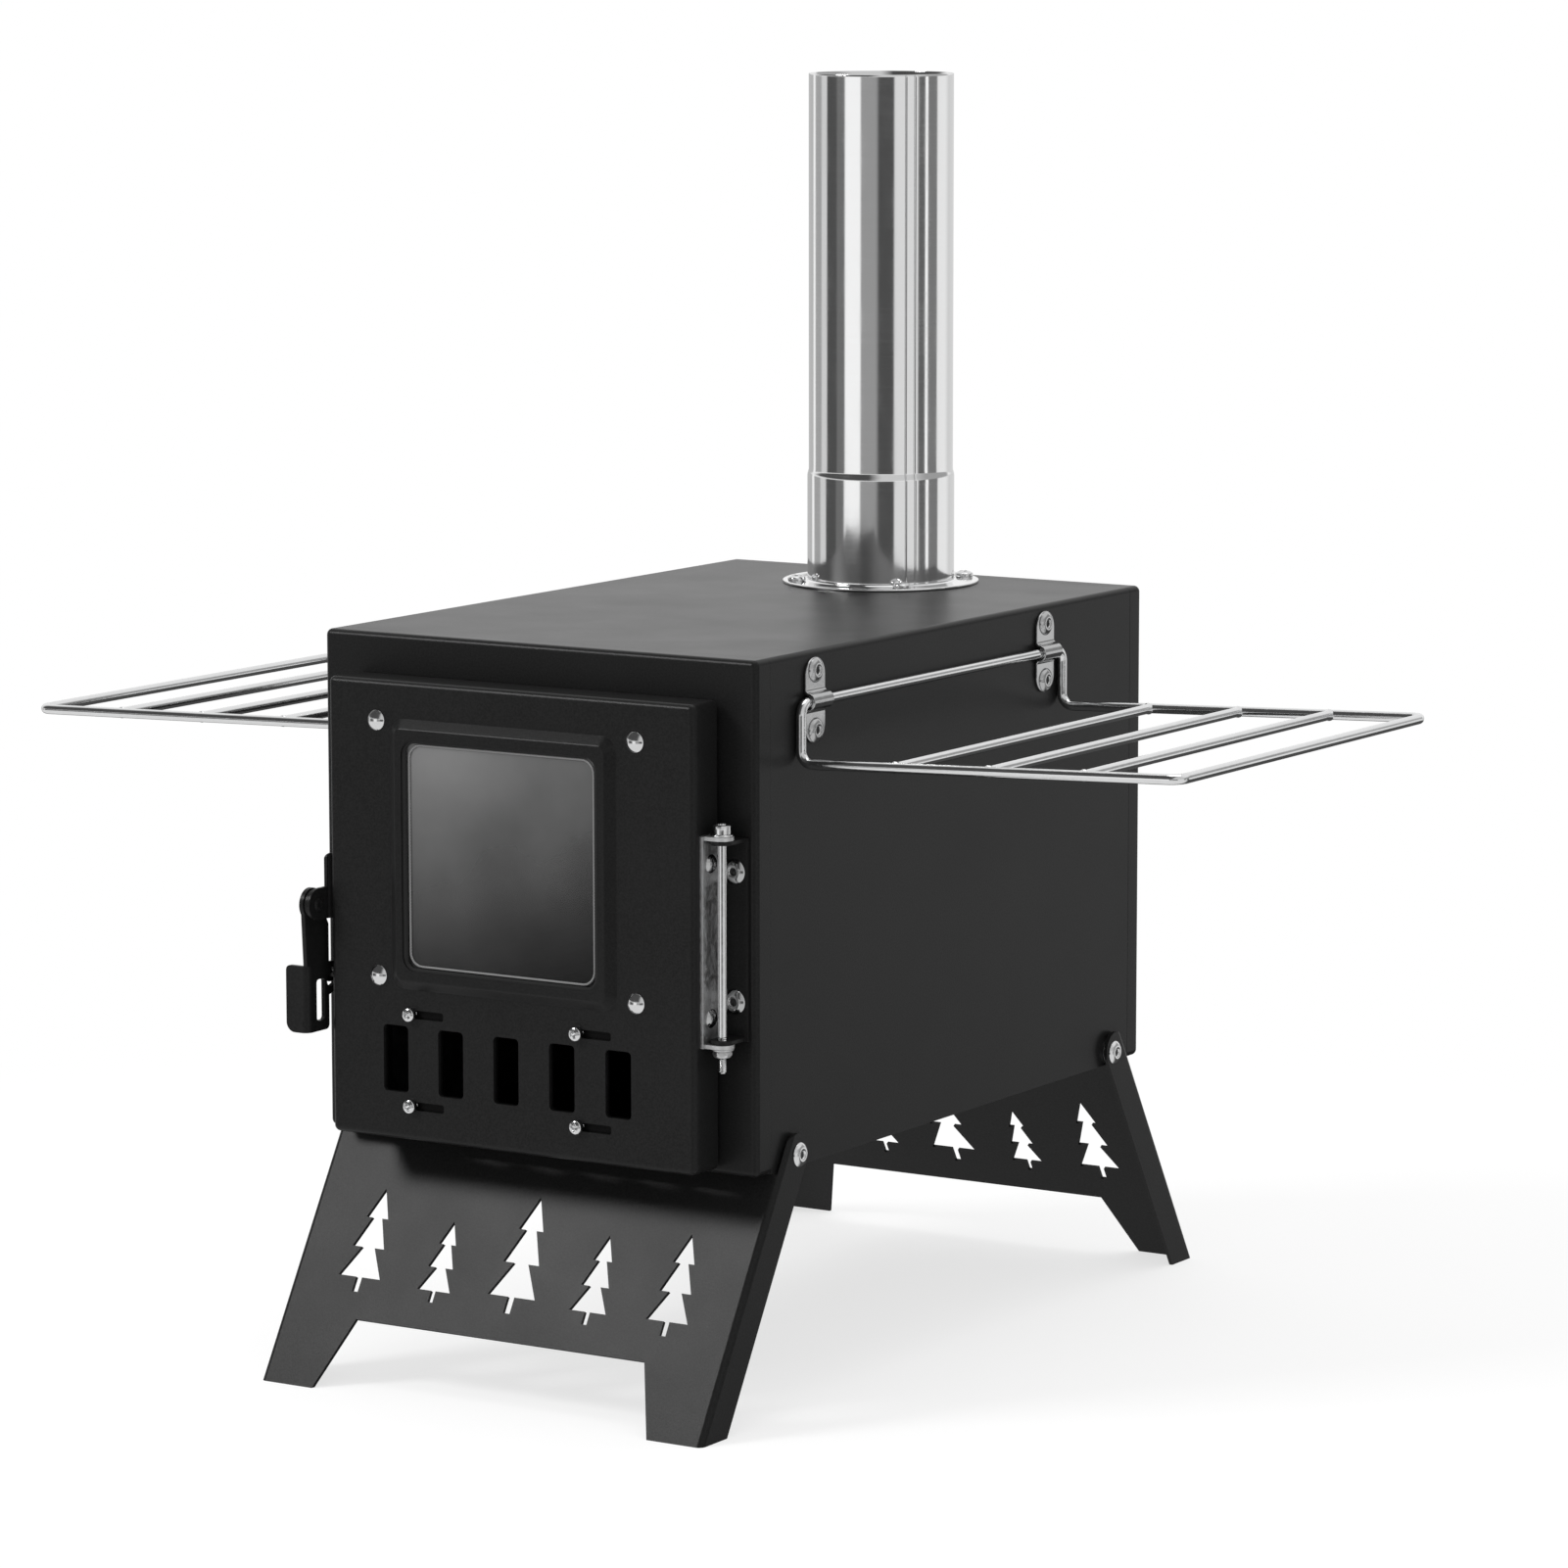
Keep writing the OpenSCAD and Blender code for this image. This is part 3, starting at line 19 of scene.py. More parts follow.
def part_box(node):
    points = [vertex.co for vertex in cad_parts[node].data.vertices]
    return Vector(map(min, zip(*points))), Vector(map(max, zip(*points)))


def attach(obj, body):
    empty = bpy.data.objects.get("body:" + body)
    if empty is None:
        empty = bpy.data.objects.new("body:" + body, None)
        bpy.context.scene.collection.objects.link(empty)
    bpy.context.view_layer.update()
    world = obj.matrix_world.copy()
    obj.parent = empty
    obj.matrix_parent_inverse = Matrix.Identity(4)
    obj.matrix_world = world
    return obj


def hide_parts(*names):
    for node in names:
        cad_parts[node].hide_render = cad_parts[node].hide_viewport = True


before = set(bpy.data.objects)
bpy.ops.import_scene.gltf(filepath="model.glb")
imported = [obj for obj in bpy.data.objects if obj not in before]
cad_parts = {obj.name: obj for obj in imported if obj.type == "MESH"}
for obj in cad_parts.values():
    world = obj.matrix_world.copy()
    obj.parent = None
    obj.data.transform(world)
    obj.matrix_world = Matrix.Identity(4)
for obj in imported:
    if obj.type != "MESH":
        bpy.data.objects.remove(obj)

Array = np.ndarray
Object = bpy.types.Object
Material = bpy.types.Material
Mesh = bpy.types.Mesh
Node = bpy.types.Node
Socket = bpy.types.NodeSocket
Point = tuple[float, float, float]
Span = tuple[float, float]

log = logging.getLogger("stove")
MM = 0.001
TAU = 2 * math.pi
DOUBLES = 2e-6  # metres within which points are one
FLAT = 0.6  # degrees within which triangles are one flat face
THREAD_DEPTH = 0.32  # millimetres from crest to root
RUN_IN = 0.5  # millimetres over which a thread gets its full depth
TIP = 0.72  # share of a rod's radius left at its tip
TIP_SLOPE = 0.5  # share regained in each millimetre from the tip
SMALL_HEAD = 3.2  # head radius, in millimetres, under which a rivet is a slim one
SLIM_SHANK = 1.6  # millimetres of radius
FULL_SHANK = 2.0  # millimetres of radius
CREASE = 40  # degrees above which an edge of a new piece stays sharp
FOLD = 33  # degrees above which an edge of a copied sheet is broken


class Facing(Enum):
    """Direction that a part standing on local +Z points to."""

    UP = ((1, 0, 0), (0, 1, 0), (0, 0, 1))
    DOWN = ((1, 0, 0), (0, -1, 0), (0, 0, -1))
    FRONT = ((1, 0, 0), (0, 0, 1), (0, -1, 0))
    BACK = ((-1, 0, 0), (0, 0, 1), (0, 1, 0))
    RIGHT = ((0, 1, 0), (0, 0, 1), (1, 0, 0))
    LEFT = ((0, -1, 0), (0, 0, 1), (-1, 0, 0))

    @property
    def turn(self) -> Array:
        """Matrix whose rows are the local X, Y and Z directions in the stove's frame."""
        return np.array(self.value, float)

    @classmethod
    def outward(cls, x: float) -> "Facing":
        """Left for a place left of the stove's middle, otherwise right."""
        return cls.LEFT if x < 0 else cls.RIGHT


class Side(Enum):
    """Side of the stove."""

    LEFT = -1
    RIGHT = 1


# ---------------------------------------------------------------- surfaces


@dataclass
class Surface:
    """A closed shell: points in millimetres and arrays of faces with equal corner counts."""

    points: Array
    faces: list[Array]

    def placed(self, origin: Point, facing: Facing = Facing.UP) -> "Surface":
        """Turns the shell so that its +Z points along facing, then moves it.

        Args:
            origin: Where the shell's own origin goes, in millimetres.
            facing: The direction that local +Z takes.

        Returns:
            The turned and moved shell.
        """
        return Surface(self.points @ facing.turn + np.array(origin, float), self.faces)

    def turned(self, degrees: float) -> "Surface":
        """Turns the shell about its own Z axis.

        Args:
            degrees: The angle, anticlockwise from above.

        Returns:
            The turned shell.
        """
        c, s = math.cos(math.radians(degrees)), math.sin(math.radians(degrees))
        matrix = np.array([[c, s, 0], [-s, c, 0], [0, 0, 1]])
        return Surface(self.points @ matrix, self.faces)


def grid_faces(rows: int, columns: int, wrap_rows: bool, wrap_columns: bool) -> Array:
    """Quads between neighbours of a grid of points.

    Face (i, j) joins points (i, j), (i, j+1), (i+1, j+1) and (i+1, j), and a wrapped side
    joins its last row or column to the first.

    Args:
        rows: Number of rows.
        columns: Number of columns.
        wrap_rows: Whether the last row joins the first.
        wrap_columns: Whether the last column joins the first.

    Returns:
        Array of corner numbers, four to a face.
    """
    i, j = np.meshgrid(
        np.arange(rows if wrap_rows else rows - 1),
        np.arange(columns if wrap_columns else columns - 1),
        indexing="ij",
    )
    below, beside = (i + 1) % rows, (j + 1) % columns
    quads = [i * columns + j, i * columns + beside, below * columns + beside, below * columns + j]
    return np.stack(quads, -1).reshape(-1, 4)


def grid_surface(points: Array, wrap_rows: bool = False, cap: bool = True) -> Surface:
    """Shell from a grid whose columns run round it.

    Args:
        points: Grid of points, rows by columns by three. Columns wrap round.
        wrap_rows: Whether the rows close on themselves too, as in a ring.
        cap: Whether the open ends get a flat face each.

    Returns:
        The shell.
    """
    rows, columns = points.shape[:2]
    faces = [grid_faces(rows, columns, wrap_rows, True)]
    if cap and not wrap_rows:
        ends = np.arange(columns)
        faces.append(np.stack([ends, ends[::-1] + (rows - 1) * columns]))
    return Surface(points.reshape(-1, 3), faces)


def turned_points(r: Array, z: Array, t: Array) -> Array:
    """Grid of the points (r cos t, r sin t, z)."""
    return np.stack(np.broadcast_arrays(r * np.cos(t), r * np.sin(t), z), -1)


def revolve(profile: Array, angles: Array, closed: bool = False) -> Surface:
    """Surface of revolution: the point (r, z) of the profile at angle t goes to (r cos t, r sin t, z).

    Args:
        profile: Radius and height of each profile point.
        angles: Angles round the axis, in radians, without the closing one.
        closed: Whether the profile is a closed loop, as for a ring or a pipe's wall.

    Returns:
        The shell. A profile that starts and ends on the axis is closed by its poles.
    """
    points = turned_points(profile[:, :1], profile[:, 1:], angles[None])
    return grid_surface(points, wrap_rows=closed, cap=False)


def circle_angles(count: int) -> Array:
    """Evenly spaced angles round a full turn, without the closing one."""
    return np.arange(count) * TAU / count


def rounded(points: Array, radius: float, steps: int) -> Array:
    """Closed path through corner points with each corner replaced by an arc.

    At a corner with unit directions a and b to its neighbours, the arc of radius r starts and
    ends at r / tan(half angle) from the corner, and runs round a centre on the bisector.

    Args:
        points: Corner points, in two or three dimensions.
        radius: Radius of the arcs.
        steps: Number of segments in an arc.

    Returns:
        The points of the path.
    """
    before = np.roll(points, 1, 0) - points
    after = np.roll(points, -1, 0) - points
    a = before / np.linalg.norm(before, axis=1, keepdims=True)
    b = after / np.linalg.norm(after, axis=1, keepdims=True)
    half = np.arccos(np.clip((a * b).sum(1), -1, 1)) / 2
    bisector = (a + b) / np.linalg.norm(a + b, axis=1, keepdims=True)
    centre = points + bisector * (radius / np.sin(half))[:, None]
    reach = (radius / np.tan(half))[:, None]
    start = points + a * reach - centre
    end = points + b * reach - centre
    sweep = (np.pi - 2 * half)[:, None, None]
    t = np.linspace(0, 1, steps + 1)[None, :, None]
    arc = (np.sin((1 - t) * sweep) * start[:, None] + np.sin(t * sweep) * end[:, None]) / np.sin(sweep)
    return (centre[:, None] + arc).reshape(-1, points.shape[1])


def tube(path: Array, radius: Array | float, sides: int = 16, closed: bool = False) -> Surface:
    """Round wire along a path: at each point a circle of the given radius stands square to the path.

    The circle's first direction is the path's direction crossed with one fixed slanted
    vector, and its second is the path's direction crossed with the first.

    Args:
        path: Points of the wire's middle.
        radius: Wire radius, one for all or one for each point.
        sides: Number of points round the wire.
        closed: Whether the wire is a loop.

    Returns:
        The shell.
    """
    ahead = np.roll(path, -1, 0) - np.roll(path, 1, 0) if closed else np.gradient(path, axis=0)
    ahead /= np.linalg.norm(ahead, axis=1, keepdims=True)
    slanted = np.array([0.53, 0.62, 0.58])
    across = np.cross(ahead, slanted)
    across /= np.linalg.norm(across, axis=1, keepdims=True)
    over = np.cross(ahead, across)
    t = circle_angles(sides)[None, :, None]
    r = np.broadcast_to(np.asarray(radius, float), len(path))[:, None, None]
    points = path[:, None] + r * (np.cos(t) * across[:, None] + np.sin(t) * over[:, None])
    return grid_surface(points, wrap_rows=closed, cap=not closed)


def polar_top(height: Array, radii: Array, angles: Array, skirt: Array) -> Surface:
    """Head whose top is a height over radius and angle, closed by a turned skirt and base.

    The top's point (i, j) is (r_i cos t_j, r_i sin t_j, height_ij), and the skirt carries
    the outermost ring on through its own (r, z) points to the axis.

    Args:
        height: Height at each radius and angle.
        radii: Radii of the top, from 0 outwards.
        angles: Angles of the top, in radians.
        skirt: Radius and height of the points that follow the outer ring.

    Returns:
        The shell.
    """
    all_radii = np.concatenate([radii, skirt[:, 0]])[:, None]
    z = np.concatenate([height, np.repeat(skirt[:, 1:], len(angles), 1)])
    return grid_surface(turned_points(all_radii, z, angles[None]), cap=False)


def smoothstep(low: float, high: float, x: Array) -> Array:
    """Smooth rise from 0 at low to 1 at high."""
    t = np.clip((x - low) / (high - low), 0, 1)
    return t * t * (3 - 2 * t)


def add_object(name: str, data: bpy.types.ID) -> Object:
    """New object at the origin that shows a mesh, a lamp or a camera."""
    made = bpy.data.objects.new(name, data)
    bpy.context.scene.collection.objects.link(made)
    return made


def make_piece(name: str, shells: list[Surface], finish: "Finish", body: str, replaced: list[str]) -> Object:
    """Makes one object of several shells, dresses it and puts it on its body.

    Args:
        name: The object's name.
        shells: The shells, in millimetres.
        finish: Its finish.
        body: The CAD body that carries it.
        replaced: CAD nodes that it stands for.

    Returns:
        The object.
    """
    starts = np.cumsum([0] + [len(s.points) for s in shells])
    points = np.concatenate([s.points for s in shells]) * MM
    faces = [f + start for s, start in zip(shells, starts) for f in s.faces]
    corners = np.concatenate([f.ravel() for f in faces])
    sizes = np.concatenate([np.full(len(f), f.shape[1]) for f in faces])
    mesh = bpy.data.meshes.new(name)
    mesh.vertices.add(len(points))
    mesh.vertices.foreach_set("co", points.astype(np.float32).ravel())
    mesh.loops.add(len(corners))
    mesh.loops.foreach_set("vertex_index", corners.astype(np.int32))
    mesh.polygons.add(len(sizes))
    first_corners = np.concatenate([[0], np.cumsum(sizes)[:-1]])
    mesh.polygons.foreach_set("loop_start", first_corners.astype(np.int32))
    mesh.update(calc_edges=True)
    tidy_mesh(mesh, copied=False)
    return settle(add_object(name, mesh), finish, body, replaced)


def tidy_mesh(mesh: Mesh, copied: bool) -> None:
    """Merges doubles and marks sharp edges.

    Faces of a new mesh are then pointed outwards. A copied one has them right, and its flat
    areas of triangles become single faces.

    Args:
        mesh: The mesh to change.
        copied: Whether the mesh is a CAD node's.
    """
    work = bmesh.new()
    work.from_mesh(mesh)
    bmesh.ops.remove_doubles(work, verts=work.verts, dist=DOUBLES)
    if copied:
        flat = math.radians(FLAT)
        bmesh.ops.dissolve_limit(work, angle_limit=flat, verts=work.verts, edges=work.edges)
    else:
        bmesh.ops.recalc_face_normals(work, faces=work.faces)
    limit = math.radians(FOLD if copied else CREASE)
    for edge in work.edges:
        edge.smooth = edge.is_manifold and edge.calc_face_angle(0) < limit
    for face in work.faces:
        face.smooth = True
    work.to_mesh(mesh)
    work.free()
    mesh.update()


def settle(piece: Object, finish: "Finish", body: str, replaced: list[str]) -> Object:
    """Dresses a finished piece, puts it on its body and says which nodes it stands for.

    Args:
        piece: The finished object.
        finish: Its finish.
        body: The CAD body that carries it.
        replaced: CAD nodes that it stands for.

    Returns:
        The same object.
    """
    piece.data.materials.append(finish.material())
    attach(piece, body)
    if replaced:
        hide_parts(*replaced)
    log.info("%s: %d faces on %s", piece.name, len(piece.data.polygons), body)
    return piece


def box_mm(node: str) -> tuple[Array, Array]:
    """Lowest and highest corner of a CAD node, in millimetres."""
    low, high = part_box(node)
    return np.array(low) / MM, np.array(high) / MM


def solids_mm(node: str) -> list[tuple[Array, Array]]:
    """Boxes of a node's separate solids, in millimetres, from left, front and bottom.

    Points at the same place are one point, and every point takes the lowest label among
    the points it shares a triangle with, over and over until no label changes.

    Args:
        node: The CAD node.

    Returns:
        The lowest and highest corner of each solid.
    """
    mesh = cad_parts[node].data
    points = np.zeros(len(mesh.vertices) * 3)
    mesh.vertices.foreach_get("co", points)
    points = points.reshape(-1, 3) / MM
    mesh.calc_loop_triangles()
    triangles = np.zeros(len(mesh.loop_triangles) * 3, np.int32)
    mesh.loop_triangles.foreach_get("vertices", triangles)
    _, same = np.unique(points.round(3), axis=0, return_inverse=True)
    corners = same.ravel()[triangles.reshape(-1, 3)]
    label = np.arange(corners.max() + 1)
    while True:
        lowest = label[corners].min(1)
        new = label.copy()
        np.minimum.at(new, corners.ravel(), np.repeat(lowest, 3))
        if (new == label).all():
            break
        label = new
    owner = label[same.ravel()]
    groups = [points[owner == k] for k in np.unique(owner)]
    boxes = [(g.min(0), g.max(0)) for g in groups]
    return sorted(boxes, key=lambda b: tuple(b[0].round(1)))


def upright(low: Array, high: Array, z: float) -> Point:
    """Point at a height on the upright line through the middle of a box."""
    return ((low[0] + high[0]) / 2, (low[1] + high[1]) / 2, z)


def softened(node: str, finish: "Finish", body: str, width: float = 0.3) -> Object:
    """Copy of a CAD node with its sharp sheet edges broken by a small round.

    Args:
        node: The CAD node to copy and stand for.
        finish: The finish.
        body: The CAD body that carries it.
        width: Width of the broken edge, in millimetres.

    Returns:
        The copy.
    """
    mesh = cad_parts[node].data.copy()
    mesh.name = node + "_soft"
    mesh.materials.clear()
    tidy_mesh(mesh, copied=True)
    piece = add_object(mesh.name, mesh)
    bevel = piece.modifiers.new("edge", "BEVEL")
    bevel.width = width * MM
    bevel.segments = 2
    bevel.limit_method = "ANGLE"
    bevel.angle_limit = math.radians(FOLD)
    bevel.use_clamp_overlap = True
    bevel.miter_outer = "MITER_ARC"
    weighted = piece.modifiers.new("shading", "WEIGHTED_NORMAL")
    weighted.mode = "FACE_AREA"
    weighted.keep_sharp = False
    return settle(piece, finish, body, [node])


# ---------------------------------------------------------------- finishes


@dataclass
class Nodes:
    """Adds nodes to one material or world and joins them."""

    tree: bpy.types.NodeTree

    def add(self, kind: str, inputs: dict[str, object] | None = None, **options: object) -> Node:
        """Adds a node.

        Args:
            kind: The node's type name, without its ShaderNode prefix.
            inputs: Input name to value, or to the socket that feeds it.
            options: Attributes of the node.

        Returns:
            The node.
        """
        node = self.tree.nodes.new("ShaderNode" + kind)
        for key, value in options.items():
            setattr(node, key, value)
        for key, value in (inputs or {}).items():
            self.feed(node.inputs[key], value)
        return node

    def feed(self, socket: Socket, value: object) -> None:
        """Gives an input a value or a link.

        Args:
            socket: The input.
            value: A value, or the socket that feeds it.
        """
        if isinstance(value, bpy.types.NodeSocket):
            self.tree.links.new(value, socket)
        else:
            socket.default_value = value

    def math(self, operation: str, *values: object) -> Socket:
        """Result of a Math node.

        Args:
            operation: The node's operation.
            values: Up to three values or sockets.

        Returns:
            The result.
        """
        node = self.add("Math", operation=operation)
        for socket, value in zip(node.inputs, values):
            self.feed(socket, value)
        return node.outputs[0]

    def ramp(self, value: Socket, stops: list[tuple[float, float]]) -> Socket:
        """Grey colour ramp.

        Args:
            value: What the ramp reads.
            stops: Position and grey level of each stop.

        Returns:
            The ramp's colour.
        """
        node = self.add("ValToRGB", {"Fac": value})
        elements = node.color_ramp.elements
        while len(elements) < len(stops):
            elements.new(0.5)
        for element, (position, level) in zip(elements, stops):
            element.position = position
            element.color = (level, level, level, 1)
        return node.outputs["Color"]

    def span(self, value: Socket, low: float, high: float, start: float, end: float) -> Socket:
        """Maps low..high of a value to start..end, clamped."""
        inputs = {"Value": value, "From Min": low, "From Max": high, "To Min": start, "To Max": end}
        return self.add("MapRange", inputs).outputs["Result"]

    def noise(self, place: Socket, scale: float, detail: float = 2, rough: float = 0.5) -> Socket:
        """Noise value at a scale per metre."""
        inputs = {"Vector": place, "Scale": scale, "Detail": detail, "Roughness": rough}
        return self.add("TexNoise", inputs).outputs["Fac"]

    def blend(self, factor: Socket, first: object, second: object) -> Socket:
        """Mixes two colours.

        Args:
            factor: Share of the second.
            first: The first colour or socket.
            second: The second.

        Returns:
            The mixed colour.
        """
        node = self.add("Mix", data_type="RGBA")
        self.feed(node.inputs["Factor"], factor)
        self.feed(node.inputs["A"], first)
        self.feed(node.inputs["B"], second)
        return node.outputs["Result"]

    def fade(self, value: Socket, low: float, high: float, first: object, second: object) -> Socket:
        """Mixes two colours by how far a value has gone from low to high."""
        return self.blend(self.span(value, low, high, 0, 1), first, second)

    def stretched(self, place: Socket, scale: Point) -> Socket:
        """Place with each direction scaled by its own factor."""
        return self.add("Mapping", {"Vector": place, "Scale": scale}).outputs[0]


def grey(level: float, warm: float = 0.0) -> tuple[float, float, float, float]:
    """Grey colour with a slight warm or cool cast."""
    return (level * (1 + warm), level, level * (1 - warm), 1.0)


@dataclass(frozen=True)
class Finish:
    """A surface finish: a name and a method that builds its material once."""

    name: str = "finish"
    slot: str = "coated_steel"

    @lru_cache(maxsize=None)
    def material(self) -> Material:
        """The finish's material, made on first use."""
        material = bpy.data.materials.new(self.name)
        material.use_nodes = True
        nodes = Nodes(material.node_tree)
        place = nodes.add("TexCoord").outputs["Object"]
        self.dress(nodes, nodes.tree.nodes["Principled BSDF"], place)
        return material

    def dress(self, nodes: Nodes, shader: Node, place: Socket) -> None:
        """Feeds the shader. Each finish has its own way.

        Args:
            nodes: The material's nodes.
            shader: The shader.
            place: Object coordinates.
        """
        raise NotImplementedError

    def bump(self, nodes: Nodes, shader: Node, height: Socket, depth: float) -> None:
        """Joins a height to the shader's normal.

        Args:
            nodes: The material's nodes.
            shader: The shader.
            height: Height from 0 to 1.
            depth: What a height of 1 stands for, in millimetres.
        """
        relief = nodes.add("Bump", {"Height": height, "Distance": depth * MM, "Strength": 1.0})
        nodes.feed(shader.inputs["Normal"], relief.outputs["Normal"])


@dataclass(frozen=True)
class Coating(Finish):
    """Satin black heat-resistant coating with a fine sprayed grain."""

    dark: float = 0.0078
    light: float = 0.0156
    rough: float = 0.32
    grain: float = 1300
    specular: float = 0.12
    clouds: float = 26
    veil: float = 0.2
    relief: float = 0.03

    def dress(self, nodes: Nodes, shader: Node, place: Socket) -> None:
        """Sprayed grain in colour and height, and slow clouds in gloss."""
        fine = nodes.noise(place, self.grain, 3, 0.6)
        cloud = nodes.noise(place, self.clouds, 3, 0.55)
        colour = nodes.fade(fine, 0.3, 0.7, grey(self.dark), grey(self.light))
        haze = nodes.span(cloud, 0.35, 0.65, 0, self.veil)
        nodes.feed(shader.inputs["Base Color"], nodes.blend(haze, colour, grey(self.light, -0.02)))
        gloss = nodes.span(cloud, 0.3, 0.7, self.rough - 0.015, self.rough + 0.02)
        nodes.feed(shader.inputs["Roughness"], gloss)
        shader.inputs["Specular IOR Level"].default_value = self.specular
        self.bump(nodes, shader, fine, self.relief)


@dataclass(frozen=True)
class BareSheet(Finish):
    """Dull bare sheet steel with mill scale."""

    colour: float = 0.24
    patches: float = 60
    grain: float = 900
    relief: float = 0.02

    def dress(self, nodes: Nodes, shader: Node, place: Socket) -> None:
        """Patches of scale in colour and gloss."""
        scale = nodes.noise(place, self.patches, 6, 0.65)
        fine = nodes.noise(place, self.grain, 2)
        scaled, bare = grey(self.colour * 0.55, 0.03), grey(self.colour, -0.02)
        nodes.feed(shader.inputs["Base Color"], nodes.fade(scale, 0.35, 0.65, scaled, bare))
        nodes.feed(shader.inputs["Roughness"], nodes.span(scale, 0.3, 0.7, 0.42, 0.62))
        shader.inputs["Metallic"].default_value = 0.85
        self.bump(nodes, shader, fine, self.relief)


@dataclass(frozen=True)
class Polished(Finish):
    """Polished stainless sheet with faint drawing marks round it and slow waves."""

    colour: float = 0.8
    rough: float = 0.07
    wave: float = 0.03
    marks: float = 900
    mark_share: float = 0.012

    def dress(self, nodes: Nodes, shader: Node, place: Socket) -> None:
        """Hairlines round the pipe in gloss, long waves along it in height."""
        hair = nodes.noise(nodes.stretched(place, (0.04, 0.04, 6.0)), self.marks, 3, 0.6)
        slow = nodes.stretched(place, (1, 1, 0.25))
        waves = nodes.noise(slow, 45, 2)
        smear = nodes.noise(slow, 160, 3)
        colour = nodes.fade(hair, 0.3, 0.7, grey(self.colour * 0.96), grey(self.colour, -0.004))
        nodes.feed(shader.inputs["Base Color"], colour)
        line = nodes.span(hair, 0.3, 0.75, self.rough - 0.03, self.rough + 0.05)
        gloss = nodes.math("ADD", line, nodes.span(smear, 0.4, 0.7, 0, 0.05))
        nodes.feed(shader.inputs["Roughness"], gloss)
        shader.inputs["Metallic"].default_value = 1.0
        height = nodes.math("ADD", waves, nodes.math("MULTIPLY", hair, self.mark_share))
        self.bump(nodes, shader, height, self.wave)


@dataclass(frozen=True)
class Plated(Finish):
    """Bright or dull metal plate with a fine uneven gloss."""

    colour: float = 0.78
    rough: float = 0.16
    spangle: float = 0.0
    relief: float = 0.006
    grain: float = 420
    crystals: float = 330

    def dress(self, nodes: Nodes, shader: Node, place: Socket) -> None:
        """Fine mottling in gloss, and crystals in colour where the plate has them."""
        mottle = crystal = nodes.noise(place, self.grain, 3, 0.6)
        if self.spangle:
            cells = nodes.add("TexVoronoi", {"Vector": place, "Scale": self.crystals}).outputs["Color"]
            crystal = nodes.add("SeparateColor", {"Color": cells}).outputs[0]
        low = grey(self.colour * (1 - 0.08 - self.spangle))
        colour = nodes.fade(crystal, 0.2, 0.8, low, grey(self.colour, -0.008))
        nodes.feed(shader.inputs["Base Color"], colour)
        gloss = nodes.span(mottle, 0.3, 0.7, self.rough * 0.75, self.rough * 1.4)
        nodes.feed(shader.inputs["Roughness"], gloss)
        shader.inputs["Metallic"].default_value = 1.0
        self.bump(nodes, shader, mottle, self.relief)


@dataclass(frozen=True)
class SheenPaintedGlass(Finish):
    """Ceramic glass, clear below, with a pale painted sheen towards its upper left that stands in for a
    softbox's reflection.
    """

    clear: float = 0.015
    # veil is the grey of the painted sheen where it is strongest.
    veil: float = 0.28
    solid: float = 0.8
    index: float = 1.45
    height: Span = (0.165, 0.258)
    width: Span = (0.042, -0.047)

    def dress(self, nodes: Nodes, shader: Node, place: Socket) -> None:
        """The painted sheen grows with height and to the left, with a slow uneven edge."""
        x, _, z = nodes.add("SeparateXYZ", {"Vector": place}).outputs
        # Painted sheen: the glass is painted lighter grey upwards and to the left, in place of a softbox's
        # reflection.
        up = nodes.span(z, *self.height, 0, 0.72)
        left = nodes.span(x, *self.width, 0, 0.28)
        uneven = nodes.span(nodes.noise(place, 28, 3, 0.5), 0.3, 0.7, -0.06, 0.06)
        share = nodes.math("ADD", nodes.math("ADD", up, left), uneven)
        painted_sheen = nodes.math("POWER", nodes.math("MAXIMUM", share, 0.0), 1.7)
        nodes.feed(shader.inputs["Base Color"], nodes.blend(painted_sheen, grey(self.clear), grey(self.veil)))
        nodes.feed(shader.inputs["Roughness"], nodes.span(painted_sheen, 0, 1, 0.06, 0.1))
        shader.inputs["Alpha"].default_value = self.solid
        shader.inputs["IOR"].default_value = self.index


@dataclass(frozen=True)
class WovenTape(Finish):
    """Grey woven glass-fibre sealing tape."""

    colour: float = 0.13
    threads: float = 380
    relief: float = 0.12

    def dress(self, nodes: Nodes, shader: Node, place: Socket) -> None:
        """Two crossed sets of threads in height and colour."""
        slant = {"Vector": place, "Rotation": (0, math.radians(45), 0)}
        turned = nodes.add("Mapping", slant).outputs[0]
        wave = {"Vector": turned, "Scale": self.threads, "Distortion": 1.2}
        warp, weft = (nodes.add("TexWave", wave, bands_direction=way).outputs["Fac"] for way in "XZ")
        weave = nodes.math("MULTIPLY", warp, weft)
        colour = nodes.blend(weave, grey(self.colour * 0.6), grey(self.colour * 1.25))
        nodes.feed(shader.inputs["Base Color"], colour)
        shader.inputs["Roughness"].default_value = 0.85
        shader.inputs["Specular IOR Level"].default_value = 0.25
        self.bump(nodes, shader, weave, self.relief)


COATING = Coating("satin_black_coating", "coated_steel")
# Darker copy of the coating for the vent slider: painted shade, so that it reads black behind the vent
# slots.
SHADE_DARKENED_COATING = Coating("sooted_black_coating", "coated_steel", 0.0025, 0.005, 0.55, 1500, 0.08)
GRATE_STEEL = BareSheet("bare_sheet_steel", "bare_steel")
STAINLESS = Polished("polished_stainless", "stainless")
NICKEL = Plated("bright_nickel_plate", "plated_steel", 0.7, 0.14, relief=0.003)
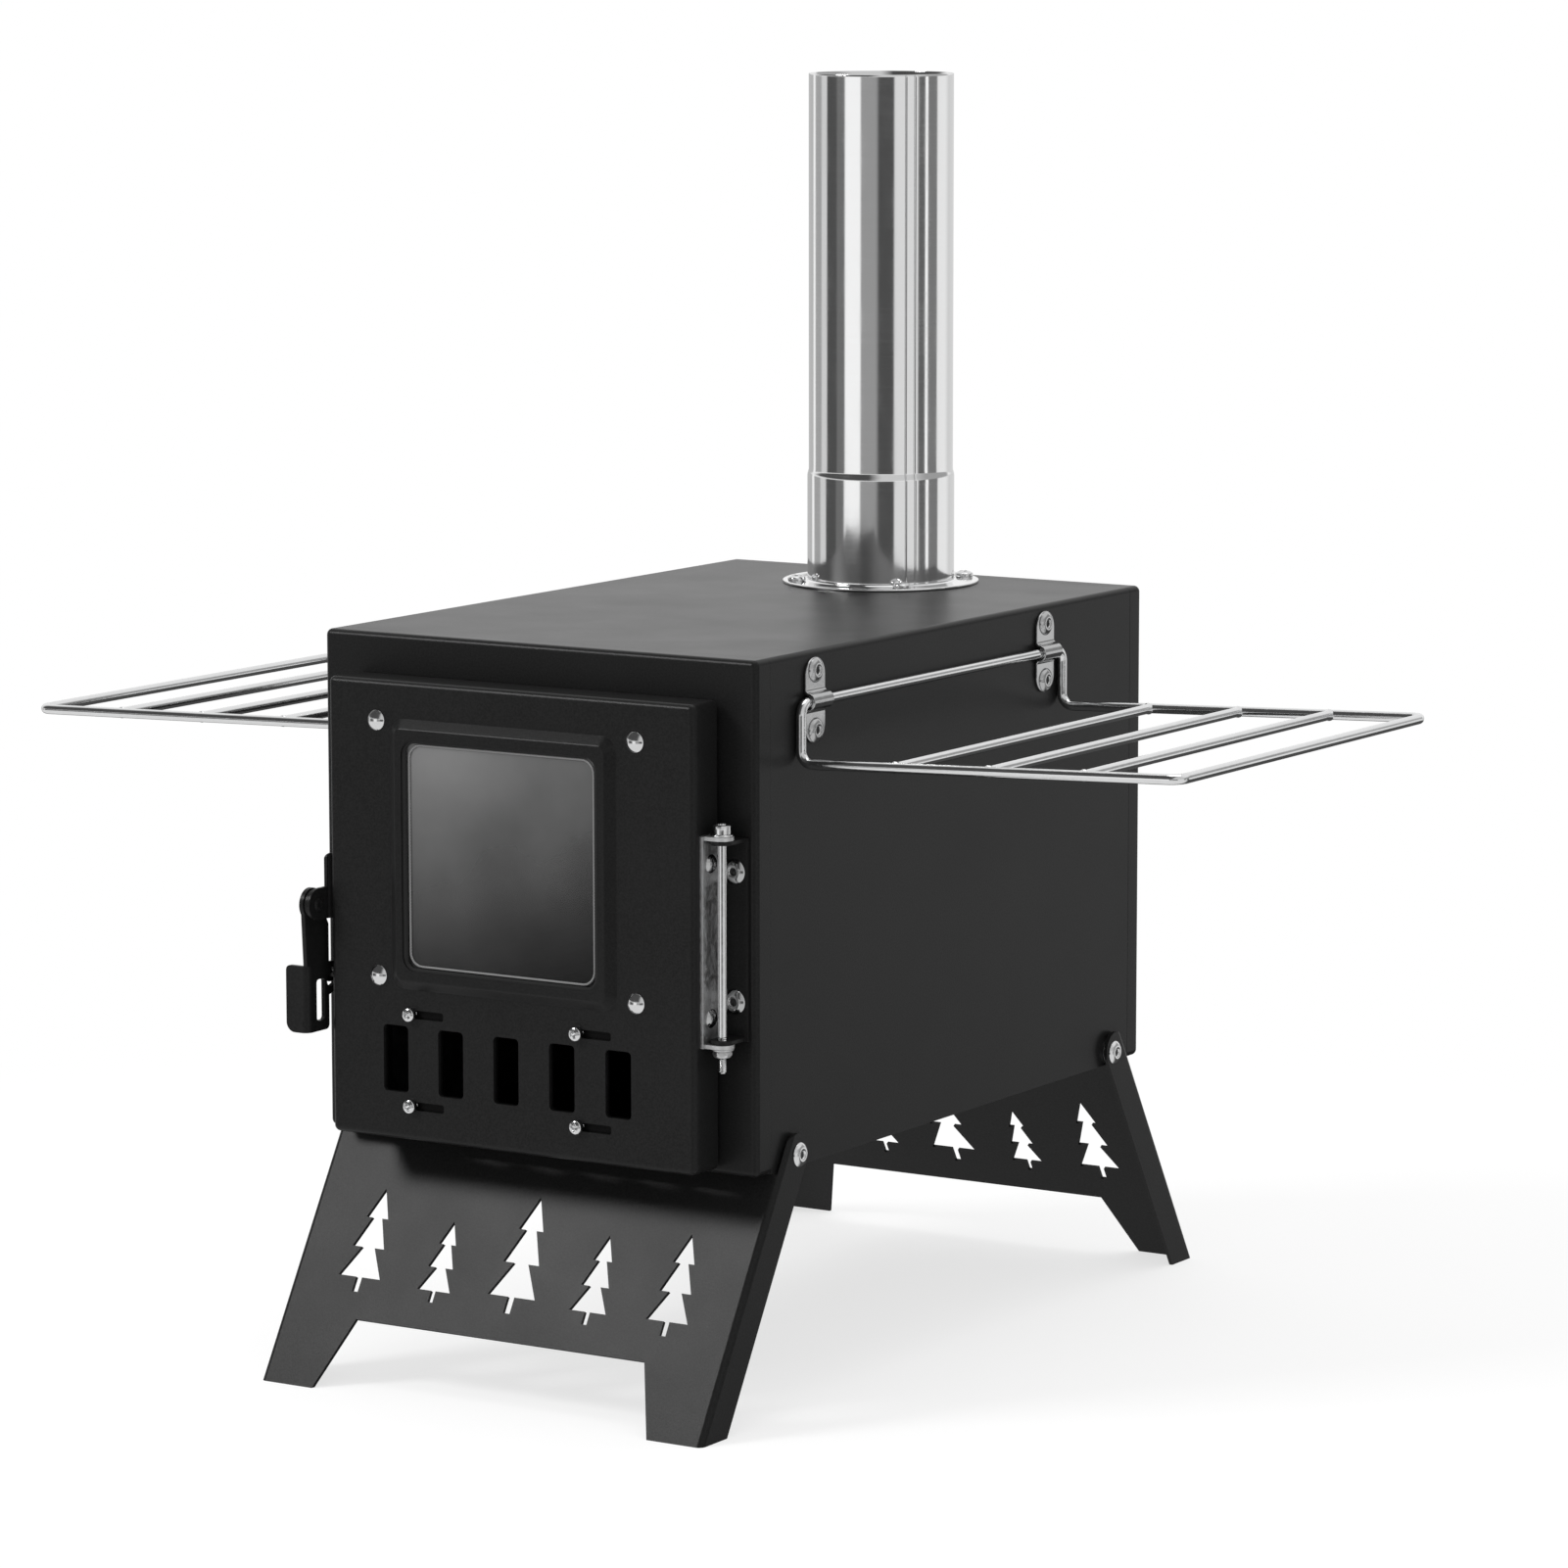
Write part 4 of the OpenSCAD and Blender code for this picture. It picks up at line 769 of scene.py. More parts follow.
# Steel of the pulled pins, partly the pin's own dark steel and partly painted shade: kept nearly black so
# the rivets' holes read dark.
PIN_STEEL_WITH_PAINTED_SHADE = Plated("dark_pin_steel", "plated_steel", 0.07, 0.35)
WIRE = Plated("drawn_wire_plate", "plated_steel", 0.74, 0.12, relief=0.001)
DULL_NICKEL = Plated("dull_nickel_plate", "plated_steel", 0.46, 0.15, relief=0.003)
ZINC = Plated("zinc_plate", "zinc_steel", 0.62, 0.42, 0.04)
GLASS = SheenPaintedGlass("smoky_glass", "glass")
TAPE = WovenTape("woven_sealing_tape", "gasket", 0.022)
BEAD = WovenTape("pale_sealing_bead", "gasket", 0.3)


# ---------------------------------------------------------------- fasteners


@dataclass(frozen=True)
class BlindRivet:
    """Hollow blind rivet: a domed flange with a dished middle and the pulled pin down its hole."""

    radius: float = 4.8
    height: float = 1.6
    hole: float = 1.35

    def surface(self) -> Surface:
        """Turned profile, its flange on z = 0."""
        r, h, hole = self.radius, self.height, self.hole
        profile = np.array([
            (0, h * 0.1), (hole * 0.9, h * 0.1), (hole, h * 0.16), (hole, h * 0.5),
            (hole * 1.08, h * 0.72), (hole * 1.3, h * 0.9),
            (hole * 1.62, h * 0.99), (hole * 1.95, h), (hole * 2.3, h * 0.95), (r * 0.78, h * 0.74),
            (r * 0.9, h * 0.5), (r * 0.97, h * 0.3), (r, h * 0.16), (r * 0.99, 0.02), (r * 0.96, -0.02),
            (0, -0.02),
        ])
        return revolve(profile, circle_angles(40))

    def pin(self) -> Surface:
        """Broken end of the pulled pin, a turned plug that fills the hole part way."""
        r, h = self.hole + 0.03, self.height
        profile = np.array([
            (0, h * 0.46), (r * 0.4, h * 0.42), (r * 0.75, h * 0.3), (r * 0.98, h * 0.26), (r, h * 0.2),
            (r, h * 0.08), (0, h * 0.06),
        ])
        return revolve(profile, circle_angles(24))


@dataclass(frozen=True)
class DomeRivet:
    """Solid rivet with a smooth domed head."""

    radius: float = 4.0
    height: float = 2.0
    rim: float = 0.25

    def surface(self) -> Surface:
        """Turned profile: a circle's arc from the axis to a low rim, its flat on z = 0."""
        r, h, rim = self.radius, self.height, self.rim
        ball = (r * r + (h - rim) ** 2) / (2 * (h - rim))
        t = np.linspace(0, 1, 13)
        radii = r * np.sin(t * math.pi / 2)
        arc = np.stack([radii, h - ball + np.sqrt(ball**2 - radii**2)], 1)
        foot = np.array([(r + 0.02, rim * 0.6), (r, 0.0), (r * 0.9, -0.02), (0, -0.02)])
        return revolve(np.concatenate([arc, foot]), circle_angles(40))


@dataclass(frozen=True)
class CrossScrew:
    """Pan-head screw with a cross recess."""

    radius: float = 2.75
    height: float = 3.0
    crown: float = 0.8
    arm: float = 0.42
    reach: float = 1.65
    depth: float = 1.2

    def surface(self) -> Surface:
        """Crowned top less a cross-shaped recess, over radius and angle, on a rounded skirt.

        Returns:
            The shell.
        """
        r, h = self.radius, self.height
        radii = r * np.array([0, 0.05, 0.11, 0.17, 0.23, 0.3, 0.38, 0.46, 0.54, 0.6, 0.66, 0.74, 0.83, 0.9])
        angles = circle_angles(72)
        x = radii[:, None] * np.cos(angles)[None]
        y = radii[:, None] * np.sin(angles)[None]
        crown = h - self.crown * (radii[:, None] / r) ** 2 + 0 * x
        slim = np.minimum(np.abs(x), np.abs(y))
        far = np.maximum(np.abs(x), np.abs(y))
        cut = (1 - smoothstep(self.arm * 0.8, self.arm * 1.25, slim)) * (
            1 - smoothstep(self.reach * 0.8, self.reach, far)
        )
        top = crown - self.depth * cut * (1 - 0.45 * far / self.reach)
        edge = h - self.crown * 0.81
        skirt = np.array([
            (r * 0.95, edge - 0.14), (r * 0.985, edge - 0.34), (r, edge - 0.65), (r, 0.15), (r * 0.96, 0.0),
            (0, 0),
        ])
        return polar_top(top, radii, angles, skirt)


def hexagon(half: float, angles: Array) -> Array:
    """Radius of a hexagon at each angle: half its width over the cosine from its nearest flat."""
    return half / np.cos((angles + math.pi / 6) % (math.pi / 3) - math.pi / 6)


@dataclass(frozen=True)
class HexNut:
    """Hexagonal nut with chamfered corners and a threaded tip standing in its bore."""

    flats: float = 6.6
    height: float = 2.6
    bore: float = 2.0

    def surface(self) -> Surface:
        """Radius is the hexagon's at each angle, cut down by a cone near both faces."""
        angles = circle_angles(72)
        half = self.flats / 2
        z = np.array([0, 0, 0.12, 0.3, 0.5, 0.7, 0.88, 1, 1]) * self.height
        cone = half * np.array([0, 0.96, 1.04, 1.12, 1.2, 1.12, 1.04, 0.96, 0])
        cone[0] = cone[-1] = self.bore
        radii = np.minimum(hexagon(half, angles)[None], cone[:, None])
        radii[0] = radii[-1] = self.bore
        return grid_surface(turned_points(radii, z[:, None], angles[None]), wrap_rows=True)


def washer(inner: float, outer: float, thick: float) -> Surface:
    """Flat ring with softened edges, standing on z = 0.

    Args:
        inner: Radius of its hole.
        outer: Its outside radius.
        thick: Its thickness.

    Returns:
        The shell.
    """
    soft = min(0.2, thick / 3)
    corners = np.array([(inner, 0), (outer, 0), (outer, thick), (inner, thick)], float)
    return revolve(rounded(corners, soft, 3), circle_angles(48), closed=True)


# ---------------------------------------------------------------- sub-assemblies


@dataclass
class Firebox:
    """Sheet-steel box, its grate, and the fasteners fixed to it."""

    body: str = "firebox"
    sheets: tuple[str, ...] = ("body_shell", "front_frame", "back_panel", "floor_panel")
    washer_bore: float = 2.45
    shank: float = 2.4

    def build(self) -> list[Object]:
        """Softened sheets, the grate, and the washers and rivets of the legs.

        Returns:
            The pieces.
        """
        sheets = [softened(node, COATING, self.body) for node in self.sheets]
        grate = softened("fire_grate", GRATE_STEEL, self.body)
        return [*sheets, grate, self.leg_washers(), self.leg_rivets()]

    def leg_washers(self) -> Object:
        """Zinc washers between the legs and the box."""
        shells = []
        for low, high in solids_mm("leg_washers"):
            middle = (low + high) / 2
            inner = high[0] if low[0] < 0 else low[0]
            ring = washer(self.washer_bore, (high[2] - low[2]) / 2, high[0] - low[0])
            shells.append(ring.placed((inner, middle[1], middle[2]), Facing.outward(low[0])))
        return make_piece("leg_spacers", shells, ZINC, self.body, ["leg_washers"])

    def leg_rivets(self) -> Object:
        """Blind rivets that the legs turn on, with their shanks and swellings."""
        head = BlindRivet()
        shells, pins = [], []
        for low, high in solids_mm("leg_rivets"):
            facing = Facing.outward(low[0])
            seat, length = seated(low, high, facing, head.height)
            shells.append(head.surface().placed(seat, facing))
            pins.append(head.pin().placed(seat, facing))
            shells.append(rivet_tail(self.shank, length).placed(seat, facing))
        make_piece("leg_pivot_pins", pins, PIN_STEEL_WITH_PAINTED_SHADE, self.body, [])
        return make_piece("leg_pivots", shells, NICKEL, self.body, ["leg_rivets"])


def seated(low: Array, high: Array, facing: Facing, height: float) -> tuple[Array, float]:
    """Where a fastener's head stands in the fastener's box.

    The seat lies on the box's middle line, one head's height in from the end that faces out.

    Args:
        low: Lowest corner of the box.
        high: Highest corner.
        facing: Where the head points.
        height: Height of the head.

    Returns:
        The seat, and the length of the box behind it.
    """
    toward = facing.turn[2]
    along = int(np.abs(toward).argmax())
    seat = (low + high) / 2
    seat[along] = (high if toward[along] > 0 else low)[along] - toward[along] * height
    return seat, (high - low)[along] - height


def rivet_tail(pin: float, length: float) -> Surface:
    """Shank and swelling behind a rivet's flange, as a turned profile running down -Z.

    Args:
        pin: Shank radius.
        length: Length from the flange to the swelling's end.

    Returns:
        The shell.
    """
    profile = np.array([
        (0, 0.0), (pin, 0.0), (pin, -length + 2.2), (2.8, -length + 1.9), (3.0, -length + 1.2),
        (2.7, -length + 0.5), (1.9, -length + 0.1), (1.2, -length), (0, -length + 0.3),
    ])
    return revolve(profile, circle_angles(24))


def riveted(
    name: str, node: str, head: BlindRivet | DomeRivet, facing: Facing, body: str, finish: Finish
) -> Object:
    """Detailed rivets in place of a node of plain ones that all face one way.

    Args:
        name: The new piece's name.
        node: The node of plain rivets.
        head: The rivet's head.
        facing: Where the heads point.
        body: The CAD body that carries them.
        finish: Their finish.

    Returns:
        The piece of rivets. The pins of hollow ones are a second piece beside it.
    """
    shank = SLIM_SHANK if head.radius < SMALL_HEAD else FULL_SHANK
    shells, pins = [], []
    for low, high in solids_mm(node):
        seat, length = seated(low, high, facing, head.height)
        shells.append(head.surface().placed(seat, facing))
        if isinstance(head, BlindRivet):
            pins.append(head.pin().placed(seat, facing))
        shells.append(rivet_tail(shank, length).placed(seat, facing))
    if pins:
        make_piece(name + "_pins", pins, PIN_STEEL_WITH_PAINTED_SHADE, body, [])
    return make_piece(name, shells, finish, body, [node])


@dataclass(frozen=True)
class Screw:
    """Cross-recess screw: its head, its thread, and how each next one is turned."""

    head: CrossScrew
    radius: float
    pitch: float
    first_turn: float
    turn_step: float


def screwed(name: str, node: str, screw: Screw, facing: Facing, body: str) -> Object:
    """Cross-recess screws in place of a node of plain ones, each turned its own way.

    Args:
        name: The new piece's name.
        node: The node of plain screws.
        screw: The screw.
        facing: Where the heads point.
        body: The CAD body that carries them.

    Returns:
        The piece.
    """
    behind = {Facing.UP: Facing.DOWN, Facing.FRONT: Facing.BACK}[facing]
    shells = []
    for index, (low, high) in enumerate(solids_mm(node)):
        seat, length = seated(low, high, facing, screw.head.height)
        turn = screw.first_turn + screw.turn_step * index
        shells.append(screw.head.surface().turned(turn).placed(seat, facing))
        shells.append(threaded_rod(screw.radius, length, length, screw.pitch).placed(seat, behind))
    return make_piece(name, shells, NICKEL, body, [node])


@dataclass
class Flue:
    """Collar with its screws, and the pipe with its widened lower end."""

    widened: float = 44.0
    shoulder: float = 2.0
    widening: float = 0.6
    wall: float = 0.5
    seam_at: float = 55.0
    seam_width: float = 4.2
    seam_fine: float = 0.16
    groove: float = 0.2
    groove_half: float = 0.32
    bead_gap: float = 0.3
    bead_half: float = 0.5
    screw: Screw = Screw(CrossScrew(3.7, 2.6, 1.1, 0.5, 2.1, 1.2), 2.0, 0.7, 25, 37)
    nut_flats: float = 6.2
    nut_bore: float = 2.05

    def __post_init__(self) -> None:
        """Measures the plain pipe."""
        self.low, self.high = box_mm("flue_pipe")
        self.outer = (self.high[0] - self.low[0]) / 2

    def build(self) -> list[Object]:
        """Collar, screws, nuts and pipe.

        Returns:
            The pieces.
        """
        return [
            self.pipe(),
            self.collar(),
            screwed("collar_screws", "flue_screws", self.screw, Facing.UP, "firebox"),
            self.nuts(),
        ]

    def wall_section(self) -> Array:
        """Section of the pipe's wall: up the outside, over a rounded rim and down the inside.

        Returns:
            Radius and height of each point.
        """
        wide, slim, wall = self.outer, self.outer - self.widening, self.wall
        low, high = self.widened, self.widened + self.shoulder
        half, top = (low + high) / 2, self.high[2] - self.low[2]
        return np.array([
            (wide - 0.12, 0.0), (wide, 0.2), (wide, 0.8), (wide, 3), (wide, 14), (wide, 24), (wide, 34),
            (wide, low - 2.5), (wide, low - 0.8), (wide - 0.06, low + 0.1), (wide - 0.28, half),
            (slim + 0.06, high - 0.1), (slim, high + 0.7), (slim, high + 2.5), (slim, 60), (slim, 85),
            (slim, 110), (slim, 135), (slim, 160), (slim, 185), (slim, top - 3), (slim, top - 1),
            (slim, top - 0.35), (slim - 0.1, top - 0.08), (slim - wall / 2, top),
            (slim - wall + 0.1, top - 0.08), (slim - wall, top - 0.4), (slim - wall, 120),
            (slim - wall, high + 0.6), (wide - wall - 0.25, half), (wide - wall, low), (wide - wall, 20),
            (wide - wall, 0.2), (wide - wall + 0.12, 0.0),
        ])

    def pipe(self) -> Object:
        """Pipe wall: radius over angle and height, with two grooves where the sheet locks.

        At an angle near the seam the radius drops by a bell-shaped groove on each side of it.

        Returns:
            The piece.
        """
        section = self.wall_section()
        seam = math.radians(self.seam_at - 90)
        near = np.linspace(-self.seam_fine, self.seam_fine, 97) + seam
        t = np.unique(np.concatenate([circle_angles(176), near % TAU]).round(6))[None]
        offset = (t - seam + math.pi) % TAU - math.pi
        arc = offset * (self.outer - self.widening)
        edges = np.exp(-(((np.abs(arc) - self.seam_width / 2) / self.groove_half) ** 2))
        r = section[:, :1] - self.groove * edges
        shell = grid_surface(turned_points(r, section[:, 1:], t), wrap_rows=True)
        placed = shell.placed(upright(self.low, self.high, self.low[2]))
        return make_piece("flue_tube", [placed], STAINLESS, "flue", ["flue_pipe"])

    def collar(self) -> Object:
        """Turned collar: flange with a raised rim, a locating bead and the spigot.

        Returns:
            The piece.
        """
        low, high = box_mm("flue_collar")
        flange = (high[0] - low[0]) / 2
        top = high[2] - low[2]
        bead = self.outer + self.bead_gap + self.bead_half
        section = [
            (29.2, 0.0), (flange - 0.5, 0.0), (flange - 0.12, 0.15), (flange, 0.55), (flange - 0.1, 1.0),
            (flange - 0.45, 1.22), (flange - 1.2, 1.2), (bead + 0.9, 1.2), (bead + 0.55, 1.32),
            (bead + 0.3, 1.6), (bead, 1.7), (bead - 0.3, 1.6), (bead - 0.5, 1.25), (30.0, 1.22),
            (30.0, top - 0.4), (29.8, top), (29.3, top), (29.2, top - 0.3),
        ]
        shell = revolve(np.array(section), circle_angles(128), closed=True)
        placed = shell.placed(upright(self.low, self.high, low[2]))
        return make_piece("flue_flange", [placed], STAINLESS, "firebox", ["flue_collar"])

    def nuts(self) -> Object:
        """Nuts of the collar's screws, inside the box."""
        shells = []
        for low, high in solids_mm("flue_nuts"):
            nut = HexNut(self.nut_flats, high[2] - low[2], self.nut_bore).surface().turned(20)
            shells.append(nut.placed(upright(low, high, low[2])))
        return make_piece("collar_nuts", shells, ZINC, "firebox", ["flue_nuts"])


def threaded_rod(radius: float, length: float, threaded: float, pitch: float = 0.7) -> Surface:
    """Rod along +Z whose end is threaded.

    Radius is the rod's less a triangle wave of height over pitch minus angle over a full
    turn, where the thread is, and it tapers to the end's chamfer.

    Args:
        radius: Outside radius.
        length: Length from z = 0.
        threaded: Length of the threaded end.
        pitch: Rise of the thread in one turn.

    Returns:
        The shell.
    """
    start = length - threaded
    plain = np.array([0.0, start]) if start > 0 else np.array([0.0])
    cut = np.linspace(max(start, 0), length, max(int(threaded / 0.1), 8))
    z = np.unique(np.concatenate([plain, cut]))
    angles = circle_angles(28)
    phase = (z[:, None] / pitch - angles[None] / TAU) % 1
    wave = np.abs(phase - 0.5) * 2
    depth = THREAD_DEPTH * smoothstep(start, start + RUN_IN, z)[:, None]
    chamfer = np.minimum(1, TIP + (length - z) * TIP_SLOPE)[:, None]
    r = (radius - depth * wave) * chamfer
    return grid_surface(turned_points(r, z[:, None], angles[None]))


@dataclass
class Hinge:
    """Zinc door leaf, black body leaf, bolt, nut and rivets."""

    head_height: float = 3.6
    head_radius: float = 3.5
    socket_half: float = 1.9
    socket_depth: float = 1.9
    shank: float = 1.8
    threaded: float = 14.0
    ring_radius: float = 4.4
    ring_thick: float = 0.75
    bolt_ring_bore: float = 2.0
    nut_ring_bore: float = 2.02
    hex_nut: HexNut = HexNut(6.6, 2.6, 2.02)
    door_rivet: DomeRivet = DomeRivet(3.6, 1.8)

    def build(self) -> list[Object]:
        """All hinge pieces.

        Returns:
            The pieces.
        """
        blind, dome = BlindRivet(), self.door_rivet
        return [
            softened("hinge_leaf_door", ZINC, "door"),
            softened("hinge_leaf_body", COATING, "firebox"),
            riveted("leaf_rivets_body", "hinge_rivets_body", blind, Facing.FRONT, "firebox", DULL_NICKEL),
            riveted("leaf_rivets_door", "hinge_rivets_door", dome, Facing.RIGHT, "door", DULL_NICKEL),
            self.bolt(),
            self.nut(),
        ]

    def bolt(self) -> Object:
        """Socket-head bolt: recessed head, washer, shank and threaded tail.

        The head's top drops by the socket's depth inside a hexagon, over radius and angle.

        Returns:
            The piece.
        """
        low, high = box_mm("hinge_bolt")
        h, r = self.head_height, self.head_radius
        seat = high[2] - h
        radii = r * np.array([0, 0.2, 0.4, 0.5, 0.56, 0.62, 0.7, 0.8, 0.9])
        angles = circle_angles(72)
        beyond = radii[:, None] - hexagon(self.socket_half, angles)[None]
        top = h - self.socket_depth * (1 - smoothstep(-0.12, 0.12, beyond))
        skirt = np.array([(r * 0.97, h - 0.12), (r, h - 0.4), (r, 0.15), (r - 0.15, 0), (0, 0)])
        head = polar_top(top, radii, angles, skirt).placed(upright(low, high, seat))
        ring = washer(self.bolt_ring_bore, self.ring_radius, self.ring_thick)
        rod = threaded_rod(self.shank, seat - low[2], self.threaded)
        shells = [
            head,
            ring.placed(upright(low, high, seat - self.ring_thick)),
            rod.placed(upright(low, high, seat), Facing.DOWN),
        ]
        return make_piece("hinge_socket_bolt", shells, NICKEL, "firebox", ["hinge_bolt"])

    def nut(self) -> Object:
        """Hexagonal nut and its washer under the lower ear."""
        low, high = box_mm("hinge_nut")
        nut = self.hex_nut.surface().placed(upright(low, high, low[2]))
        ring = washer(self.nut_ring_bore, self.ring_radius, self.ring_thick)
        seat = upright(low, high, high[2] - self.ring_thick)
        return make_piece("hinge_hex_nut", [nut, ring.placed(seat)], ZINC, "firebox", ["hinge_nut"])


@dataclass
class Door:
    """Door pan, window and its rivets.

    The tape and the bead are each given by the section's half width and by the inner half
    width and half height of the ring that it runs round.
    """

    corner: float = 5.4
    tape: tuple[float, float, float] = (2.0, 43.4, 43.9)
    tape_proud: float = 0.9
    bead: tuple[float, float, float] = (0.45, 42.3, 42.8)
    bead_before: float = 0.7
    bead_behind: float = 0.1
    rivet: DomeRivet = DomeRivet(4.0, 2.0)

    def build(self) -> list[Object]:
        """Pan, retainer, glass, sealing tape and rivets.

        Returns:
            The pieces.
        """
        return [
            softened("door_panel", COATING, "door"),
            softened("glass_retainer", COATING, "door", 0.25),
            softened("door_glass", GLASS, "door", 0.4),
            *self.seals(),
            riveted("window_dome_rivets", "window_rivets", self.rivet, Facing.FRONT, "door", NICKEL),
        ]

    def seals(self) -> list[Object]:
        """Dark sealing tape round the window, and the pale bead along its inner edge.

        Returns:
            The two pieces.
        """
        low, high = box_mm("window_gasket")
        middle = (low + high) / 2
        tape = self.ring(middle, low[1] - self.tape_proud, high[1], *self.tape)
        bead = self.ring(middle, high[1] - self.bead_before, high[1] + self.bead_behind, *self.bead)
        return [
            make_piece("window_tape", [tape], TAPE, "door", ["window_gasket"]),
            make_piece("window_bead", [bead], BEAD, "door", []),
        ]

    def ring(
        self, middle: Array, front: float, back: float, half: float, across: float, up: float
    ) -> Surface:
        """Oval section carried round the window's opening.

        The section's point at angle t stands off its middle line by its half width times
        cos t and off its middle depth by half its depth times sin t.

        Args:
            middle: Middle of the window.
            front: Front of the section.
            back: Back of the section.
            half: Half width of the section.
            across: Inner half width of the ring.
            up: Inner half height of the ring.

        Returns:
            The shell.
        """
        corners = np.array([(-1, -1), (1, -1), (1, 1), (-1, 1)], float) * (across + half, up + half)
        path = rounded(corners, self.corner, 8)
        ahead = np.roll(path, -1, 0) - np.roll(path, 1, 0)
        ahead /= np.linalg.norm(ahead, axis=1, keepdims=True)
        outward = np.stack([ahead[:, 1], -ahead[:, 0]], 1)
        t = circle_angles(16)[None, :, None]
        flat = path[:, None] + outward[:, None] * half * np.cos(t)
        y = (front + back) / 2 + (back - front) / 2 * np.sin(t[..., 0]) + 0 * flat[..., 0]
        points = np.stack([middle[0] + flat[..., 0], y, middle[2] + flat[..., 1]], -1)
        return grid_surface(points, wrap_rows=True)


@dataclass
class AirVent:
    """Slider plate behind the door with its screws and nuts."""

    screw: Screw = Screw(CrossScrew(), 1.5, 0.5, 12, 31)
    nut_flats: float = 5.4
    nut_bore: float = 1.55

    def build(self) -> list[Object]:
        """Slider, screws and nuts.

        Returns:
            The pieces.
        """
        return [
            # The slider takes the darker copy of the coating, as painted shade behind the vent slots.
            softened("vent_slider", SHADE_DARKENED_COATING, "vent", 0.25),
            screwed("slider_cross_screws", "slider_screws", self.screw, Facing.FRONT, "vent"),
            self.nuts(),
        ]

    def nuts(self) -> Object:
        """Nuts behind the slider."""
        shells = []
        for low, high in solids_mm("slider_nuts"):
            middle = (low + high) / 2
            nut = HexNut(self.nut_flats, high[1] - low[1], self.nut_bore).surface()
            shells.append(nut.placed((middle[0], high[1], middle[2]), Facing.FRONT))
        return make_piece("slider_hex_nuts", shells, ZINC, "vent", ["slider_nuts"])


@dataclass
class Latch:
    """Bracket, keeper, handle and their black rivets."""

    bracket_rivet: DomeRivet = DomeRivet(2.9, 1.3, 0.2)
    keeper_rivet: DomeRivet = DomeRivet(1.9, 0.9, 0.15)

    def build(self) -> list[Object]:
        """All latch pieces.

        Returns:
            The pieces.
        """
        bracket, keeper = self.bracket_rivet, self.keeper_rivet
        return [
            softened("latch_bracket", COATING, "door"),
            softened("latch_handle", COATING, "latch", 0.35),
            softened("latch_keeper", COATING, "firebox", 0.25),
            softened("latch_pivot", COATING, "door", 0.15),
            softened("latch_washer", COATING, "door", 0.25),
            riveted("bracket_dome_rivets", "bracket_rivets", bracket, Facing.LEFT, "door", COATING),
            riveted("keeper_dome_rivets", "keeper_rivets", keeper, Facing.FRONT, "firebox", COATING),
        ]


@dataclass
class Legs:
    """The two splayed folding legs."""

    ends: tuple[str, ...] = ("front", "rear")

    def build(self) -> list[Object]:
        """Front and rear leg.

        Returns:
            The pieces.
        """
        return [softened("leg_" + end, COATING, end + "_leg") for end in self.ends]


